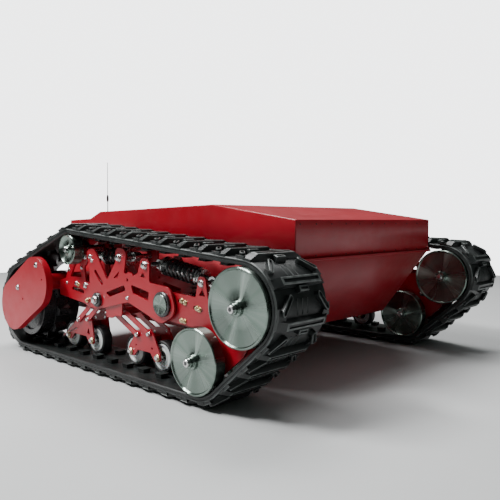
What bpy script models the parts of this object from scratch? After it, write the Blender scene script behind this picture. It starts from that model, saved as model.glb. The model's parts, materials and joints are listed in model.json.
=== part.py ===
"""Tracked tank chassis: a sheet-metal hull between two rubber tracks, each carried by a sprung side frame.

+X is forward, +Z is up, and the origin is on the floor under the middle of the chassis. Metres throughout.
Everything beside the hull is built twice, for the right side (SIDE -1, at -Y) and the left side (SIDE +1).
Across the chassis, positions are given as "out": the distance from the middle plane, the same on both sides.
"""

import math

import bmesh
import bpy
from mathutils import Vector

# --- driving dimensions -------------------------------------------------------------------------------

GAP = 0.0003  # between pieces that rest on each other
RUNNING_GAP = 0.0005  # between a shaft and its bore
HALF_GAUGE = 0.340  # chassis middle to track middle
TRACK_WIDTH = 0.120
CARCASS = 0.010  # thickness of the rubber band
PADDLE = 0.011  # height of the tread bars
PITCHES = 37  # tread bars round the track
SMALL_CORNER = 0.007  # corners under this radius are single chords
TRACK_CLEARANCE = 0.0013  # wheel rim to the facets of the band

# wheel centres (x, z) and the radius at which the band runs round each
SPROCKET = (-0.338, 0.110, 0.089)
LOWER_WHEEL = (0.262, 0.079, 0.058)
UPPER_WHEEL = (0.362, 0.177, 0.065)
IDLER = (-0.139, 0.245, 0.033)
WHEEL_HALF_WIDTH = 0.0666  # track middle to the rim plane of a dished wheel
DISC_WIDTH = 0.022
WHEEL_SHAFT_RADIUS = 0.010

SPROCKET_TEETH = 11
TOOTH_HEIGHT = 0.012
TOOTH_HALF_WIDTH = 0.014
DRUM_HALF_WIDTH = 0.044
CASE_FACES = (0.4040, 0.4190)  # the chain case's inner and outer face
CASE_RADIUS = 0.057
CASE_WALL = 0.003

# pivots (x, z) of the side frame
FRONT_PIVOT = (0.154, 0.159)
REAR_PIVOT = (-0.052, 0.147)
FRONT_HORN = (0.102, 0.225)
REAR_HORN = (0.021, 0.235)
FRONT_SPRING_EYE = (0.246, 0.203)  # on the front arm
REAR_SPRING_EYE = (-0.112, 0.230)  # on the rear arm
MOTOR_AXIS = (-0.245, 0.168)

# bogies: the first link's upper pivot, the second's offset from it, and the link's run down to the bracket
REAR_BOGIE = {"upper": REAR_PIVOT, "second": (-0.036, -0.005), "run": (-0.065, -0.050)}
FRONT_BOGIE = {"upper": (-0.022, 0.124), "second": (0.036, 0.006), "run": (0.078, -0.035)}
BOGIE_WHEEL_RADIUS = 0.031
BOGIE_WHEEL_HALF_WIDTH = 0.0115
BOGIE_AXLE_Z = CARCASS + PADDLE + BOGIE_WHEEL_RADIUS + TRACK_CLEARANCE
REAR_BOGIE_AXLES = (-0.198, -0.107)
FRONT_BOGIE_AXLES = (0.032, 0.115)

# plates, as (half thickness, distance of the plate's middle from the track's middle)
FRAME_PLATE = (0.002, 0.038)
HANGER_PLATE = (0.002, 0.0345)  # behind the frame's plate, round the front bogie's pins
ARM_PLATE = (0.002, 0.030)
LINK_BAR = (0.0015, 0.0235)
BRACKET_PLATE = (0.0015, 0.0195)
FRONT_PIVOT_RADIUS = 0.014
REAR_PIVOT_RADIUS = 0.008
BOGIE_AXLE_RADIUS = 0.005
LINK_HALF_WIDTH = 0.005
LINK_EYE = 0.0075
LINK_PIN = 0.0038
PIN_SWEEP = 0.0037  # round the rear bogie's second pin, where the rear arm swings past it

# shock absorbers
SHOCK_PIN = 0.005
ARM_PIN = 0.004
OPEN_PIVOT_GAP = 0.0012  # round the arm's pin, where the closed linkage is opened
SHOCK_EYE_HALF_WIDTH = 0.008
SHOCK_NECK_RADIUS = 0.0065
SHOCK_ROD_RADIUS = 0.004
BARREL_RADIUS = 0.0105
SEAT_RADIUS = 0.018
SPRING_START = 0.020  # horn pin to the spring
SPRING_WIRE = 0.0024  # radius of the wire
COIL_RADIUS = 0.0150

# hull
HULL_HALF_WIDTH = 0.2456
SHEET = 0.0025
BELLY_Z = 0.086
SEAM_Z = 0.237
HULL_FRONT = 0.345
HULL_REAR = -0.388
LIP = 0.0055  # the cover's front lip, forward of its face
LIP_HEIGHT = 0.0048
LIP_SETBACK = 0.003  # the tub's front edge, behind the cover's face
FRONT_TOE = 0.229  # where the lower front plate meets the belly
HEEL_RISE = 0.030
HEEL_RUN = 0.020
FACE_TOP_Z = 0.310
RIDGE = (0.140, 0.338)
ROOF_REAR = (-0.254, 0.325)
DECK_FRONT = (-0.297, 0.308)
DECK_REAR_Z = 0.304
OPEN_RUN = 0.03  # how far a cavity runs past the open side of its box
SHAFT_HOLE_RADIUS = 0.0115
ANTENNA = (-0.342, -0.165, 0.453, 0.360)  # x, y, height of the tip, height of the bead

RED = (0.42, 0.022, 0.028, 1.0)
DARK_RED = (0.30, 0.018, 0.022, 1.0)
RUBBER = (0.018, 0.020, 0.020, 1.0)
POLISHED = (0.62, 0.64, 0.62, 1.0)
STEEL = (0.45, 0.46, 0.47, 1.0)
BLACK = (0.012, 0.012, 0.013, 1.0)


# --- helpers ------------------------------------------------------------------------------------------


def clear_scene():
    for obj in list(bpy.data.objects):
        bpy.data.objects.remove(obj, do_unlink=True)


def new_collection(name, hidden=False):
    collection = bpy.data.collections.new(name)
    bpy.context.scene.collection.children.link(collection)
    collection.hide_render = hidden
    return collection


def material(name, colour, roughness, metallic):
    made = bpy.data.materials.new(name)
    made.use_nodes = True
    shader = made.node_tree.nodes["Principled BSDF"]
    shader.inputs["Base Color"].default_value = colour
    shader.inputs["Roughness"].default_value = roughness
    shader.inputs["Metallic"].default_value = metallic
    return made


def finish(obj, mat):
    """Gives an object its material and smooth shading, and puts it among the parts."""
    obj.data.materials.clear()
    obj.data.materials.append(mat)
    if obj.type == "MESH":
        obj.data.shade_smooth()
        obj.data.set_sharp_from_angle(angle=math.radians(35))
    return obj


def circle(x, z, radius, count=12):
    turn = 2 * math.pi / count
    return [(x + radius * math.cos(i * turn), z + radius * math.sin(i * turn)) for i in range(count)]


def rounded(corners, steps=2):
    """A closed outline whose corners (x, z, radius) are rounded by arcs; a small one is one chord."""
    outline = []
    for i, (x, z, radius) in enumerate(corners):
        here = Vector((x, z))
        before = (Vector(corners[i - 1][:2]) - here).normalized()
        after = (Vector(corners[(i + 1) % len(corners)][:2]) - here).normalized()
        if radius == 0:
            outline.append((x, z))
            continue
        half = before.angle(after) / 2
        middle = here + (before + after).normalized() * (radius / math.sin(half))
        start = here + before * (radius / math.tan(half)) - middle
        end = here + after * (radius / math.tan(half)) - middle
        sweep = start.angle_signed(end)
        chords = 1 if radius < SMALL_CORNER else steps
        for step in range(chords + 1):
            turn = -sweep * step / chords
            outline.append(
                (
                    middle.x + start.x * math.cos(turn) - start.y * math.sin(turn),
                    middle.y + start.x * math.sin(turn) + start.y * math.cos(turn),
                )
            )
    return outline


def slot(start, end, half_width, steps=4):
    """A stadium outline from one centre (x, z) to another."""
    heading = math.atan2(end[1] - start[1], end[0] - start[0])
    outline = []
    for centre, first in ((end, heading - math.pi / 2), (start, heading + math.pi / 2)):
        for step in range(steps + 1):
            turn = first + math.pi * step / steps
            outline.append((centre[0] + half_width * math.cos(turn), centre[1] + half_width * math.sin(turn)))
    return outline


def belt_path(wheels, offset):
    """Straight runs and arcs of a belt round wheels (x, z, radius), listed anticlockwise.

    Each piece is ("line", start, end) or ("arc", centre, radius, first angle, sweep)."""
    normals = []
    for i, (x, z, radius) in enumerate(wheels):
        next_x, next_z, next_radius = wheels[(i + 1) % len(wheels)]
        heading = math.atan2(next_z - z, next_x - x)
        distance = math.hypot(next_x - x, next_z - z)
        normals.append(heading - math.pi / 2 - math.asin((next_radius - radius) / distance))
    pieces = []
    for i, (x, z, radius) in enumerate(wheels):
        sweep = (normals[i] - normals[i - 1]) % (2 * math.pi)
        pieces.append(("arc", (x, z), radius + offset, normals[i - 1], sweep))
        next_x, next_z, next_radius = wheels[(i + 1) % len(wheels)]
        outwards = (math.cos(normals[i]), math.sin(normals[i]))
        start = (x + (radius + offset) * outwards[0], z + (radius + offset) * outwards[1])
        end = (next_x + (next_radius + offset) * outwards[0], next_z + (next_radius + offset) * outwards[1])
        pieces.append(("line", start, end))
    return pieces


def belt_length(pieces):
    total = 0
    for piece in pieces:
        total += math.dist(piece[1], piece[2]) if piece[0] == "line" else piece[2] * piece[4]
    return total


def belt_point(pieces, distance, height):
    """The point a given distance along a belt, raised outwards by a height."""
    left = distance % belt_length(pieces)
    for piece in pieces:
        if piece[0] == "line":
            length = math.dist(piece[1], piece[2])
        else:
            length = piece[2] * piece[4]
        if left <= length:
            break
        left -= length
    if piece[0] == "arc":
        turn = piece[3] + left / piece[2]
        reach = piece[2] + height
        return (piece[1][0] + reach * math.cos(turn), piece[1][1] + reach * math.sin(turn))
    along = Vector((piece[2][0] - piece[1][0], piece[2][1] - piece[1][1])).normalized()
    return (
        piece[1][0] + along.x * left + along.y * height,
        piece[1][1] + along.y * left - along.x * height,
    )


def belt_outline(wheels, offset, steps=8):
    """The belt as a closed outline, with its arcs cut into chords."""
    outline = []
    for piece in belt_path(wheels, offset):
        if piece[0] == "line":
            continue
        _, centre, radius, first, sweep = piece
        for step in range(steps + 1):
            turn = first + sweep * step / steps
            outline.append((centre[0] + radius * math.cos(turn), centre[1] + radius * math.sin(turn)))
    return outline


def inset(outline, distance):
    """A convex anticlockwise outline moved inwards."""
    moved = []
    for i, point in enumerate(outline):
        here = Vector(point)
        back = (here - Vector(outline[i - 1])).normalized()
        on = (Vector(outline[(i + 1) % len(outline)]) - here).normalized()
        bisector = (Vector((-back.y, back.x)) + Vector((-on.y, on.x))).normalized()
        reach = distance / bisector.dot(Vector((-back.y, back.x)))
        moved.append((point[0] + bisector.x * reach, point[1] + bisector.y * reach))
    return moved


class Builder:
    """Makes pieces in the two collections: the parts, and the cutters that shape them."""

    def __init__(self):
        self.parts = new_collection("tracked_tank_chassis")
        self.cutters = new_collection("cutters", hidden=True)
        self.red = material("red_paint", RED, 0.32, 0.25)
        self.dark_red = material("red_paint_shaded", DARK_RED, 0.3, 0.25)
        self.rubber = material("track_rubber", RUBBER, 0.6, 0.0)
        self.tyre = material("tyre_rubber", RUBBER, 0.7, 0.0)
        self.polished = material("turned_aluminium", POLISHED, 0.18, 1.0)
        self.steel = material("plated_steel", STEEL, 0.3, 1.0)
        self.black = material("black_coated_steel", BLACK, 0.4, 0.5)

    def add(self, name, data, location=(0, 0, 0), rotation=(0, 0, 0)):
        obj = bpy.data.objects.new(name, data)
        obj.location = location
        obj.rotation_euler = rotation
        self.parts.objects.link(obj)
        return obj

    def plate(self, name, outlines, half_thickness, y, origin=(0, 0)):
        """A flat plate standing in the XZ plane at y. The outlines after the first are its holes."""
        curve = bpy.data.curves.new(name, "CURVE")
        curve.dimensions = "2D"
        curve.fill_mode = "BOTH"
        curve.extrude = half_thickness
        for outline in outlines:
            spline = curve.splines.new("POLY")
            spline.points.add(len(outline) - 1)
            for point, (x, z) in zip(spline.points, outline):
                point.co = (x - origin[0], z - origin[1], 0, 1)
            spline.use_cyclic_u = True
        upright = (math.pi / 2, 0, 0)
        return self.add(name, curve, (origin[0], y, origin[1]), upright)

    def as_mesh(self, obj):
        """Replaces a curve object by a welded mesh, so that Booleans can take it."""
        bpy.context.view_layer.update()
        evaluated = obj.evaluated_get(bpy.context.evaluated_depsgraph_get())
        mesh = bpy.data.meshes.new_from_object(evaluated)
        name, matrix = obj.name, obj.matrix_world.copy()
        bpy.data.objects.remove(obj, do_unlink=True)
        form = bmesh.new()
        form.from_mesh(mesh)
        bmesh.ops.remove_doubles(form, verts=form.verts, dist=1e-6)
        bmesh.ops.recalc_face_normals(form, faces=form.faces)
        form.to_mesh(mesh)
        form.free()
        made = self.add(name, mesh)
        made.matrix_world = matrix
        return made

    def rod(self, name, x, z, radius, out_from, out_to, side, count=12):
        """A round bar across the chassis, its ends given as distances from the middle plane."""
        mesh = bpy.data.meshes.new(name)
        form = bmesh.new()
        length = abs(out_to - out_from)
        bmesh.ops.create_cone(
            form, cap_ends=True, segments=count, radius1=radius, radius2=radius, depth=length
        )
        form.to_mesh(mesh)
        form.free()
        middle = side * (out_from + out_to) / 2
        return self.add(name, mesh, (x, middle, z), (math.pi / 2, 0, 0))

    def bar(self, name, start, end, radius, y, count=10):
        """A round bar in an upright plane, from one (x, z) to another."""
        mesh = bpy.data.meshes.new(name)
        form = bmesh.new()
        length = math.dist(start, end)
        bmesh.ops.create_cone(
            form, cap_ends=True, segments=count, radius1=radius, radius2=radius, depth=length
        )
        form.to_mesh(mesh)
        form.free()
        lean = math.atan2(end[0] - start[0], end[1] - start[1])
        centre = ((start[0] + end[0]) / 2, y, (start[1] + end[1]) / 2)
        return self.add(name, mesh, centre, (0, lean, 0))

    def block(self, name, low, high):
        mesh = bpy.data.meshes.new(name)
        form = bmesh.new()
        bmesh.ops.create_cube(form, size=1)
        for vertex in form.verts:
            for axis in range(3):
                middle = (low[axis] + high[axis]) / 2
                vertex.co[axis] = middle + vertex.co[axis] * (high[axis] - low[axis])
        form.to_mesh(mesh)
        form.free()
        return self.add(name, mesh)

    def boolean(self, obj, others, operation):
        for other in others:
            modifier = obj.modifiers.new(other.name, "BOOLEAN")
            modifier.operation = operation
            modifier.object = other
            self.parts.objects.unlink(other)
            self.cutters.objects.link(other)
            other.hide_render = True
            other.display_type = "WIRE"
        return obj

    def join(self, obj, *others):
        return self.boolean(obj, others, "UNION")

    def cut(self, obj, *others):
        return self.boolean(obj, others, "DIFFERENCE")

    def turned(self, name, profile, x, z, out, side, steps, mat, closed=False):
        """A turned piece across the chassis. Its profile (radius, height) runs from its outer end inwards,
        with heights measured outwards from the plane at out."""
        mesh = bpy.data.meshes.new(name)
        verts = [(radius, 0, height) for radius, height in profile]
        edges = [(i, i + 1) for i in range(len(profile) - 1)]
        if closed:
            edges.append((len(profile) - 1, 0))
        mesh.from_pydata(verts, edges, [])
        obj = self.add(name, mesh, (x, side * out, z), (-side * math.pi / 2, 0, 0))
        screw = obj.modifiers.new("turn", "SCREW")
        screw.axis = "Z"
        screw.steps = steps
        screw.render_steps = steps
        screw.use_merge_vertices = True
        screw.merge_threshold = 0.00001
        screw.use_smooth_shade = True
        return finish(obj, mat)


# --- hull ---------------------------------------------------------------------------------------------


def tub_outline(top):
    """The tub's side view up to a height: an upright rear, and a front plate that leans forward."""
    lean = (HULL_FRONT - LIP_SETBACK - FRONT_TOE) / (SEAM_Z - BELLY_Z)
    return [
        (FRONT_TOE + lean * (top - BELLY_Z), top),
        (HULL_REAR, top),
        (HULL_REAR, BELLY_Z + HEEL_RISE),
        (HULL_REAR + HEEL_RUN, BELLY_Z),
        (FRONT_TOE, BELLY_Z),
    ]


def cover_outline(bottom):
    """The top cover's side view from a height up: front face, glacis, roof, short slope and rear deck."""
    return [
        (HULL_FRONT, bottom),
        (HULL_FRONT, FACE_TOP_Z),
        RIDGE,
        ROOF_REAR,
        DECK_FRONT,
        (HULL_REAR, DECK_REAR_Z),
        (HULL_REAR, bottom),
    ]


def folded_box(build, name, outline, taller_outline):
    """A box of folded sheet, open on the side where the taller outline runs past the outline."""
    box = build.as_mesh(build.plate(name, [outline], HULL_HALF_WIDTH, 0))
    hollow = inset(taller_outline, SHEET)
    cavity = build.as_mesh(build.plate(f"{name}_cavity", [hollow], HULL_HALF_WIDTH - SHEET, 0))
    return build.cut(box, cavity)


def hull_tub(build):
    tub = folded_box(build, "hull_tub", tub_outline(SEAM_Z), tub_outline(SEAM_Z + OPEN_RUN))
    wall = (HULL_HALF_WIDTH - 0.01, HULL_HALF_WIDTH + 0.01)
    for side in (-1, 1):
        build.cut(tub, build.rod("motor_shaft_hole", *MOTOR_AXIS, SHAFT_HOLE_RADIUS, *wall, side))
    finish(tub, build.dark_red)


def top_cover(build):
    bottom = SEAM_Z + GAP
    cover = folded_box(build, "top_cover", cover_outline(bottom), cover_outline(bottom - OPEN_RUN))
    lip_reach = HULL_HALF_WIDTH + 0.0012
    lip = build.block(
        "cover_lip",
        (HULL_FRONT - SHEET / 2, -lip_reach, bottom),
        (HULL_FRONT + LIP, lip_reach, SEAM_Z + LIP_HEIGHT),
    )
    build.join(cover, lip)
    finish(cover, build.red)


def antenna(build):
    """A thin whip with a bead, on a small base that stands on the rear deck."""
    x, y, top, bead = ANTENNA
    share = (x - HULL_REAR) / (DECK_FRONT[0] - HULL_REAR)
    foot = DECK_REAR_Z + share * (DECK_FRONT[1] - DECK_REAR_Z) + 3 * GAP
    profile = [
        (0.0, top),
        (0.0009, top),
        (0.0012, bead + 0.008),
        (0.0026, bead + 0.006),
        (0.0026, bead - 0.006),
        (0.0014, bead - 0.008),
        (0.0016, foot + 0.010),
        (0.0060, foot + 0.007),
        (0.0070, foot),
        (0.0, foot),
    ]
    mesh = bpy.data.meshes.new("antenna")
    verts = [(radius, 0, height) for radius, height in profile]
    mesh.from_pydata(verts, [(i, i + 1) for i in range(len(profile) - 1)], [])
    obj = build.add("antenna", mesh, (x, y, 0))
    screw = obj.modifiers.new("turn", "SCREW")
    screw.steps = 10
    screw.render_steps = 10
    screw.use_merge_vertices = True
    screw.merge_threshold = 0.00001
    finish(obj, build.black)


def battery(build):
    finish(
        build.block("battery_pack", (-0.060, -0.090, BELLY_Z + 0.003), (0.120, 0.090, BELLY_Z + 0.103)),
        build.black,
    )


def controller(build):
    """The motor controller: a finned box on the tub's floor, ahead of the motors."""
    box = build.block("motor_controller", (-0.180, -0.060, BELLY_Z + 0.003), (-0.080, 0.060, BELLY_Z + 0.045))
    fins = [
        build.block(
            "controller_groove",
            (-0.190, -0.050 + i * 0.022, BELLY_Z + 0.038),
            (-0.070, -0.038 + i * 0.022, BELLY_Z + 0.060),
        )
        for i in range(5)
    ]
    build.cut(box, *fins)
    finish(box, build.black)


def drive_motor(build, side, tag):
    """Gear motor against the hull's inner wall. Its shaft leaves through the wall for the chain case."""
    wall = HULL_HALF_WIDTH - SHEET
    profile = [
        (0.0, 0.168),
        (0.010, 0.168),
        (0.010, -GAP),
        (0.030, -GAP),
        (0.030, -0.012),
        (0.042, -0.012),
        (0.042, -0.055),
        (0.036, -0.058),
        (0.036, -0.150),
        (0.0, -0.150),
    ]
    build.turned(f"{tag}_drive_motor", profile, *MOTOR_AXIS, wall, side, 16, build.steel)


# --- track and its wheels -----------------------------------------------------------------------------


def track_wheels():
    return [SPROCKET, LOWER_WHEEL, UPPER_WHEEL, IDLER]


def track(build, side, tag):
    """A rubber band round the four wheels, with a paddle bar across it at each pitch."""
    pieces = belt_path(track_wheels(), 0.0)
    pitch = belt_length(pieces) / PITCHES
    outer = []
    inner = []
    for i in range(PITCHES):
        start = i * pitch
        bar = (
            (0.0, CARCASS),
            (0.0025, CARCASS + PADDLE),
            (0.0115, CARCASS + PADDLE),
            (0.0140, CARCASS),
            (0.5 * (0.0140 + pitch), CARCASS),
        )
        outer += [belt_point(pieces, start + along, height) for along, height in bar]
        inner += [belt_point(pieces, start + pitch * share, 0.0) for share in (0.0, 0.3333, 0.6667)]
    band = build.plate(f"{tag}_track", [outer, inner[::-1]], TRACK_WIDTH / 2, side * HALF_GAUGE)
    finish(band, build.rubber)


def dished_wheel(build, name, wheel, side):
    """Two dished discs turned with the shaft that joins them; the outer one has a longer boss."""
    x, z, radius = wheel
    rim = radius - TRACK_CLEARANCE
    face = WHEEL_HALF_WIDTH
    back = face - DISC_WIDTH
    profile = [
        (0.0, face + 0.014),
        (0.0055, face + 0.013),
        (0.0065, face + 0.004),
        (0.0115, face - 0.004),
        (rim - 0.004, face - 0.002),
        (rim, face),
        (rim, back),
        (rim - 0.012, back),
        (0.018, face - 0.010),
        (WHEEL_SHAFT_RADIUS, back),
        (WHEEL_SHAFT_RADIUS, -back),
        (0.018, 0.010 - face),
        (rim - 0.012, -back),
        (rim, -back),
        (rim, -face),
        (rim - 0.004, 0.002 - face),
        (0.0115, 0.004 - face),
        (0.0060, -face - 0.006),
        (0.0, -face - 0.006),
    ]
    build.turned(name, profile, x, z, HALF_GAUGE, side, 18, build.polished)


def idler(build, side, tag):
    x, z, radius = IDLER
    rim = radius - TRACK_CLEARANCE
    profile = [
        (0.0, 0.064),
        (0.006, 0.064),
        (0.009, 0.056),
        (rim - 0.003, 0.0575),
        (rim, 0.059),
        (rim, 0.036),
        (0.008, 0.036),
        (0.008, -0.036),
        (rim, -0.036),
        (rim, -0.058),
        (0.0, -0.058),
    ]
    build.turned(f"{tag}_idler_wheel", profile, x, z, HALF_GAUGE, side, 16, build.polished)


def sprocket(build, side, tag):
    """A toothed ring between two plain drums, on the shaft from the hull's side to the chain case."""
    x, z, radius = SPROCKET
    tip = radius - TRACK_CLEARANCE
    root = tip - TOOTH_HEIGHT
    outline = []
    for i in range(SPROCKET_TEETH):
        for share, reach in ((0.0, root), (0.42, root), (0.58, tip), (0.84, tip)):
            turn = 2 * math.pi * (i + share) / SPROCKET_TEETH
            outline.append((x + reach * math.cos(turn), z + reach * math.sin(turn)))
    ring = build.as_mesh(
        build.plate(f"{tag}_drive_sprocket", [outline], TOOTH_HALF_WIDTH, side * HALF_GAUGE, (x, z))
    )
    across = (HALF_GAUGE - DRUM_HALF_WIDTH, HALF_GAUGE + DRUM_HALF_WIDTH)
    drum = build.rod("sprocket_drum", x, z, root - 0.001, *across, side, 22)
    shaft = build.rod("sprocket_shaft", x, z, 0.012, HULL_HALF_WIDTH + 0.001, CASE_FACES[0] + 0.0075, side)
    build.join(ring, drum, shaft)
    finish(ring, build.black)


def chain_case(build, side, tag):
    """The oblong cover outside the sprocket, open towards it, on a tube round the motor's shaft."""
    inner_face, outer_face = CASE_FACES
    wheels = [(SPROCKET[0] - 0.007, SPROCKET[1], CASE_RADIUS), (*MOTOR_AXIS, CASE_RADIUS)]
    middle = side * (inner_face + outer_face) / 2
    half = (outer_face - inner_face) / 2
    case = build.as_mesh(
        build.plate(f"{tag}_chain_case", [belt_outline(wheels, 0.0, 10)], half, middle, MOTOR_AXIS)
    )
    cavity_at = middle - side * CASE_WALL
    cavity = build.as_mesh(
        build.plate("case_cavity", [belt_outline(wheels, -CASE_WALL, 10)], half, cavity_at)
    )
    build.cut(case, cavity)
    tube = (HULL_HALF_WIDTH + GAP, outer_face - 0.001)
    build.join(case, build.rod("case_tube", *MOTOR_AXIS, 0.018, *tube, side, 16))
    bore = (HULL_HALF_WIDTH - 0.04, outer_face - 0.004)
    build.cut(case, build.rod("case_bore", *MOTOR_AXIS, 0.0106, *bore, side, 16))
    for x, z in ((-0.233, 0.208), (-0.320, 0.152)):
        screw = build.rod("case_screw", x, z, 0.0045, outer_face - 0.001, outer_face + 0.002, side, 6)
        build.join(case, screw)
    finish(case, build.red)


# --- side frame ---------------------------------------------------------------------------------------


def link_pivots(bogie):
    """The upper pivots (x, z) of a bogie's two links."""
    x, z = bogie["upper"]
    return [(x, z), (x + bogie["second"][0], z + bogie["second"][1])]


def frame_outline():
    """The M-shaped side plate with its three horns, from its front end round over the top."""
    return rounded(
        [
            (0.191, 0.146, 0.022),
            (0.174, 0.190, 0.018),
            (0.115, 0.194, 0.0),
            (0.116, 0.237, 0.008),
            (0.092, 0.239, 0.007),
            (0.080, 0.209, 0.0),
            (0.066, 0.203, 0.0),
            (0.053, 0.210, 0.0),
            (0.036, 0.202, 0.0),
            (0.046, 0.251, 0.010),
            (0.009, 0.255, 0.010),
            (0.009, 0.226, 0.0),
            (-0.020, 0.189, 0.0),
            (-0.066, 0.249, 0.006),
            (-0.092, 0.246, 0.006),
            (-0.083, 0.200, 0.0),
            (-0.083, 0.162, 0.0),
            (-0.100, 0.153, 0.006),
            (-0.098, 0.131, 0.006),
            (-0.056, 0.127, 0.010),
            (0.050, 0.152, 0.0),
            (0.150, 0.123, 0.020),
        ]
    )


def hanger_outline():
    """The two ears behind the frame's plate that hold the front bogie's pins."""
    return rounded(
        [
            (0.026, 0.153, 0.0),
            (-0.030, 0.146, 0.0),
            (-0.030, 0.114, 0.007),
            (-0.010, 0.114, 0.007),
            (0.006, 0.121, 0.0),
            (0.024, 0.120, 0.007),
        ]
    )


def frame_windows():
    return [
        rounded([(x, z, 0.002) for x, z in ((-0.024, 0.164), (0.036, 0.183), (0.043, 0.174), (-0.013, 0.156))]),
        rounded([(x, z, 0.002) for x, z in ((0.059, 0.186), (0.114, 0.177), (0.112, 0.161), (0.066, 0.170))]),
        slot((-0.061, 0.203), (-0.038, 0.181), 0.0038, 3),
        [(0.000, 0.193), (0.017, 0.198), (0.023, 0.211)],
        [(0.088, 0.203), (0.103, 0.202), (0.097, 0.212)],
        circle(0.048, 0.194, 0.003, 6),
    ]


def frame_pins():
    """Every pin of the side frame: its centre and its radius."""
    pins = [(*FRONT_PIVOT, FRONT_PIVOT_RADIUS), (*REAR_PIVOT, REAR_PIVOT_RADIUS)]
    pins += [(*horn, SHOCK_PIN) for horn in (FRONT_HORN, REAR_HORN)]
    pins.append((*link_pivots(REAR_BOGIE)[1], LINK_PIN))
    pins += [(x, z, LINK_PIN) for x, z in link_pivots(FRONT_BOGIE)]
    return pins


def pin_sides(radius):
    return 12 if radius > 0.006 else 8


def hanger(build, holes, side, way):
    half, middle = HANGER_PLATE
    return build.as_mesh(build.plate("hanger", [hanger_outline(), *holes], half, side * (HALF_GAUGE + way * middle)))


def side_plate_outer(build, side, tag):
    half, middle = FRAME_PLATE
    hung = link_pivots(FRONT_BOGIE)
    held = [pin for pin in frame_pins() if pin[:2] not in hung]
    holes = [circle(x, z, radius + GAP, pin_sides(radius)) for x, z, radius in held]
    outlines = [frame_outline(), *frame_windows(), *holes]
    plate = build.as_mesh(build.plate(f"{tag}_side_plate_outer", outlines, half, side * (HALF_GAUGE + middle)))
    holes = [circle(*pivot, LINK_PIN + GAP, 8) for pivot in hung]
    build.join(plate, hanger(build, holes, side, 1))
    finish(plate, build.red)


def side_frame_inner(build, side, tag):
    """The second plate, with the pins that carry everything and the tubes that bolt it to the hull."""
    half, middle = FRAME_PLATE
    plate = build.as_mesh(
        build.plate(f"{tag}_side_frame_inner", [frame_outline()], half, side * (HALF_GAUGE - middle))
    )
    out_low = HALF_GAUGE - middle
    out_high = HALF_GAUGE + middle + half
    build.join(plate, hanger(build, [], side, -1))
    for i, (x, z, radius) in enumerate(frame_pins()):
        ends = (out_low, out_high + 0.003)
        build.join(plate, build.rod(f"frame_pin_{i}", x, z, radius, *ends, side, pin_sides(radius)))
    heads = ((*FRONT_PIVOT, 0.0225, 0.007, 16), (*REAR_PIVOT, 0.016, 0.006, 14))
    for i, (x, z, radius, height, count) in enumerate(heads):
        build.join(
            plate,
            build.rod(f"frame_cap_{i}", x, z, radius, out_high + GAP, out_high + GAP + height, side, count),
        )
    for i, (x, z, radius) in enumerate(((*FRONT_PIVOT, 0.020), (*REAR_PIVOT, 0.014), (0.046, 0.178, 0.016))):
        build.join(
            plate,
            build.rod(f"frame_tube_{i}", x, z, radius, HULL_HALF_WIDTH + GAP, out_low, side, 12),
        )
    finish(plate, build.red)


# --- suspension arms ----------------------------------------------------------------------------------


def twin_plates(build, name, outlines, plate, origin, side, tubes):
    """Two like plates, one each side of the track's middle, joined by tubes (x, z, radius)."""
    half, middle = plate
    outer, inner = (
        build.as_mesh(build.plate(label, outlines, half, side * (HALF_GAUGE + way * middle), origin))
        for label, way in ((name, 1), (f"{name}_inner", -1))
    )
    build.join(outer, inner)
    ends = (HALF_GAUGE - middle, HALF_GAUGE + middle)
    for i, (x, z, radius) in enumerate(tubes):
        build.join(outer, build.rod(f"{name}_tube_{i}", x, z, radius, *ends, side, 8))
    return outer


def front_arm(build, side, tag):
    """The swing arm of the two front wheels, with the A-shaped bracket for the front spring."""
    pivot_x, pivot_z = FRONT_PIVOT
    eye_x, eye_z = FRONT_SPRING_EYE
    outline = rounded(
        [
            (pivot_x - 0.026, pivot_z + 0.024, 0.020),
            (pivot_x - 0.026, pivot_z - 0.026, 0.020),
            (0.180, 0.128, 0.0),
            (0.232, 0.126, 0.006),
            (0.243, 0.060, 0.014),
            (0.300, 0.058, 0.010),
            (0.344, 0.094, 0.010),
            (0.385, 0.160, 0.014),
            (0.372, 0.200, 0.014),
            (0.330, 0.186, 0.010),
            (eye_x + 0.017, 0.176, 0.004),
            (eye_x + 0.010, eye_z + 0.010, 0.006),
            (eye_x - 0.006, eye_z + 0.012, 0.006),
            (eye_x - 0.014, 0.178, 0.004),
        ]
    )
    bores = [
        circle(pivot_x, pivot_z, FRONT_PIVOT_RADIUS + 0.0008, 12),
        circle(*UPPER_WHEEL[:2], WHEEL_SHAFT_RADIUS + RUNNING_GAP, 12),
        circle(*LOWER_WHEEL[:2], WHEEL_SHAFT_RADIUS + RUNNING_GAP, 12),
        slot((0.190, 0.168), (0.208, 0.166), 0.0035, 2),
        slot((0.230, 0.160), (0.248, 0.158), 0.0035, 2),
        [(eye_x - 0.006, 0.182), (eye_x + 0.010, 0.181), (eye_x + 0.003, 0.194)],
    ]
    tubes = [(0.300, 0.130, 0.007), (0.205, 0.140, 0.006), (eye_x, eye_z, 0.004)]
    arm = twin_plates(build, f"{tag}_front_arm", [outline, *bores], ARM_PLATE, FRONT_PIVOT, side, tubes)
    finish(arm, build.red)


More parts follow.
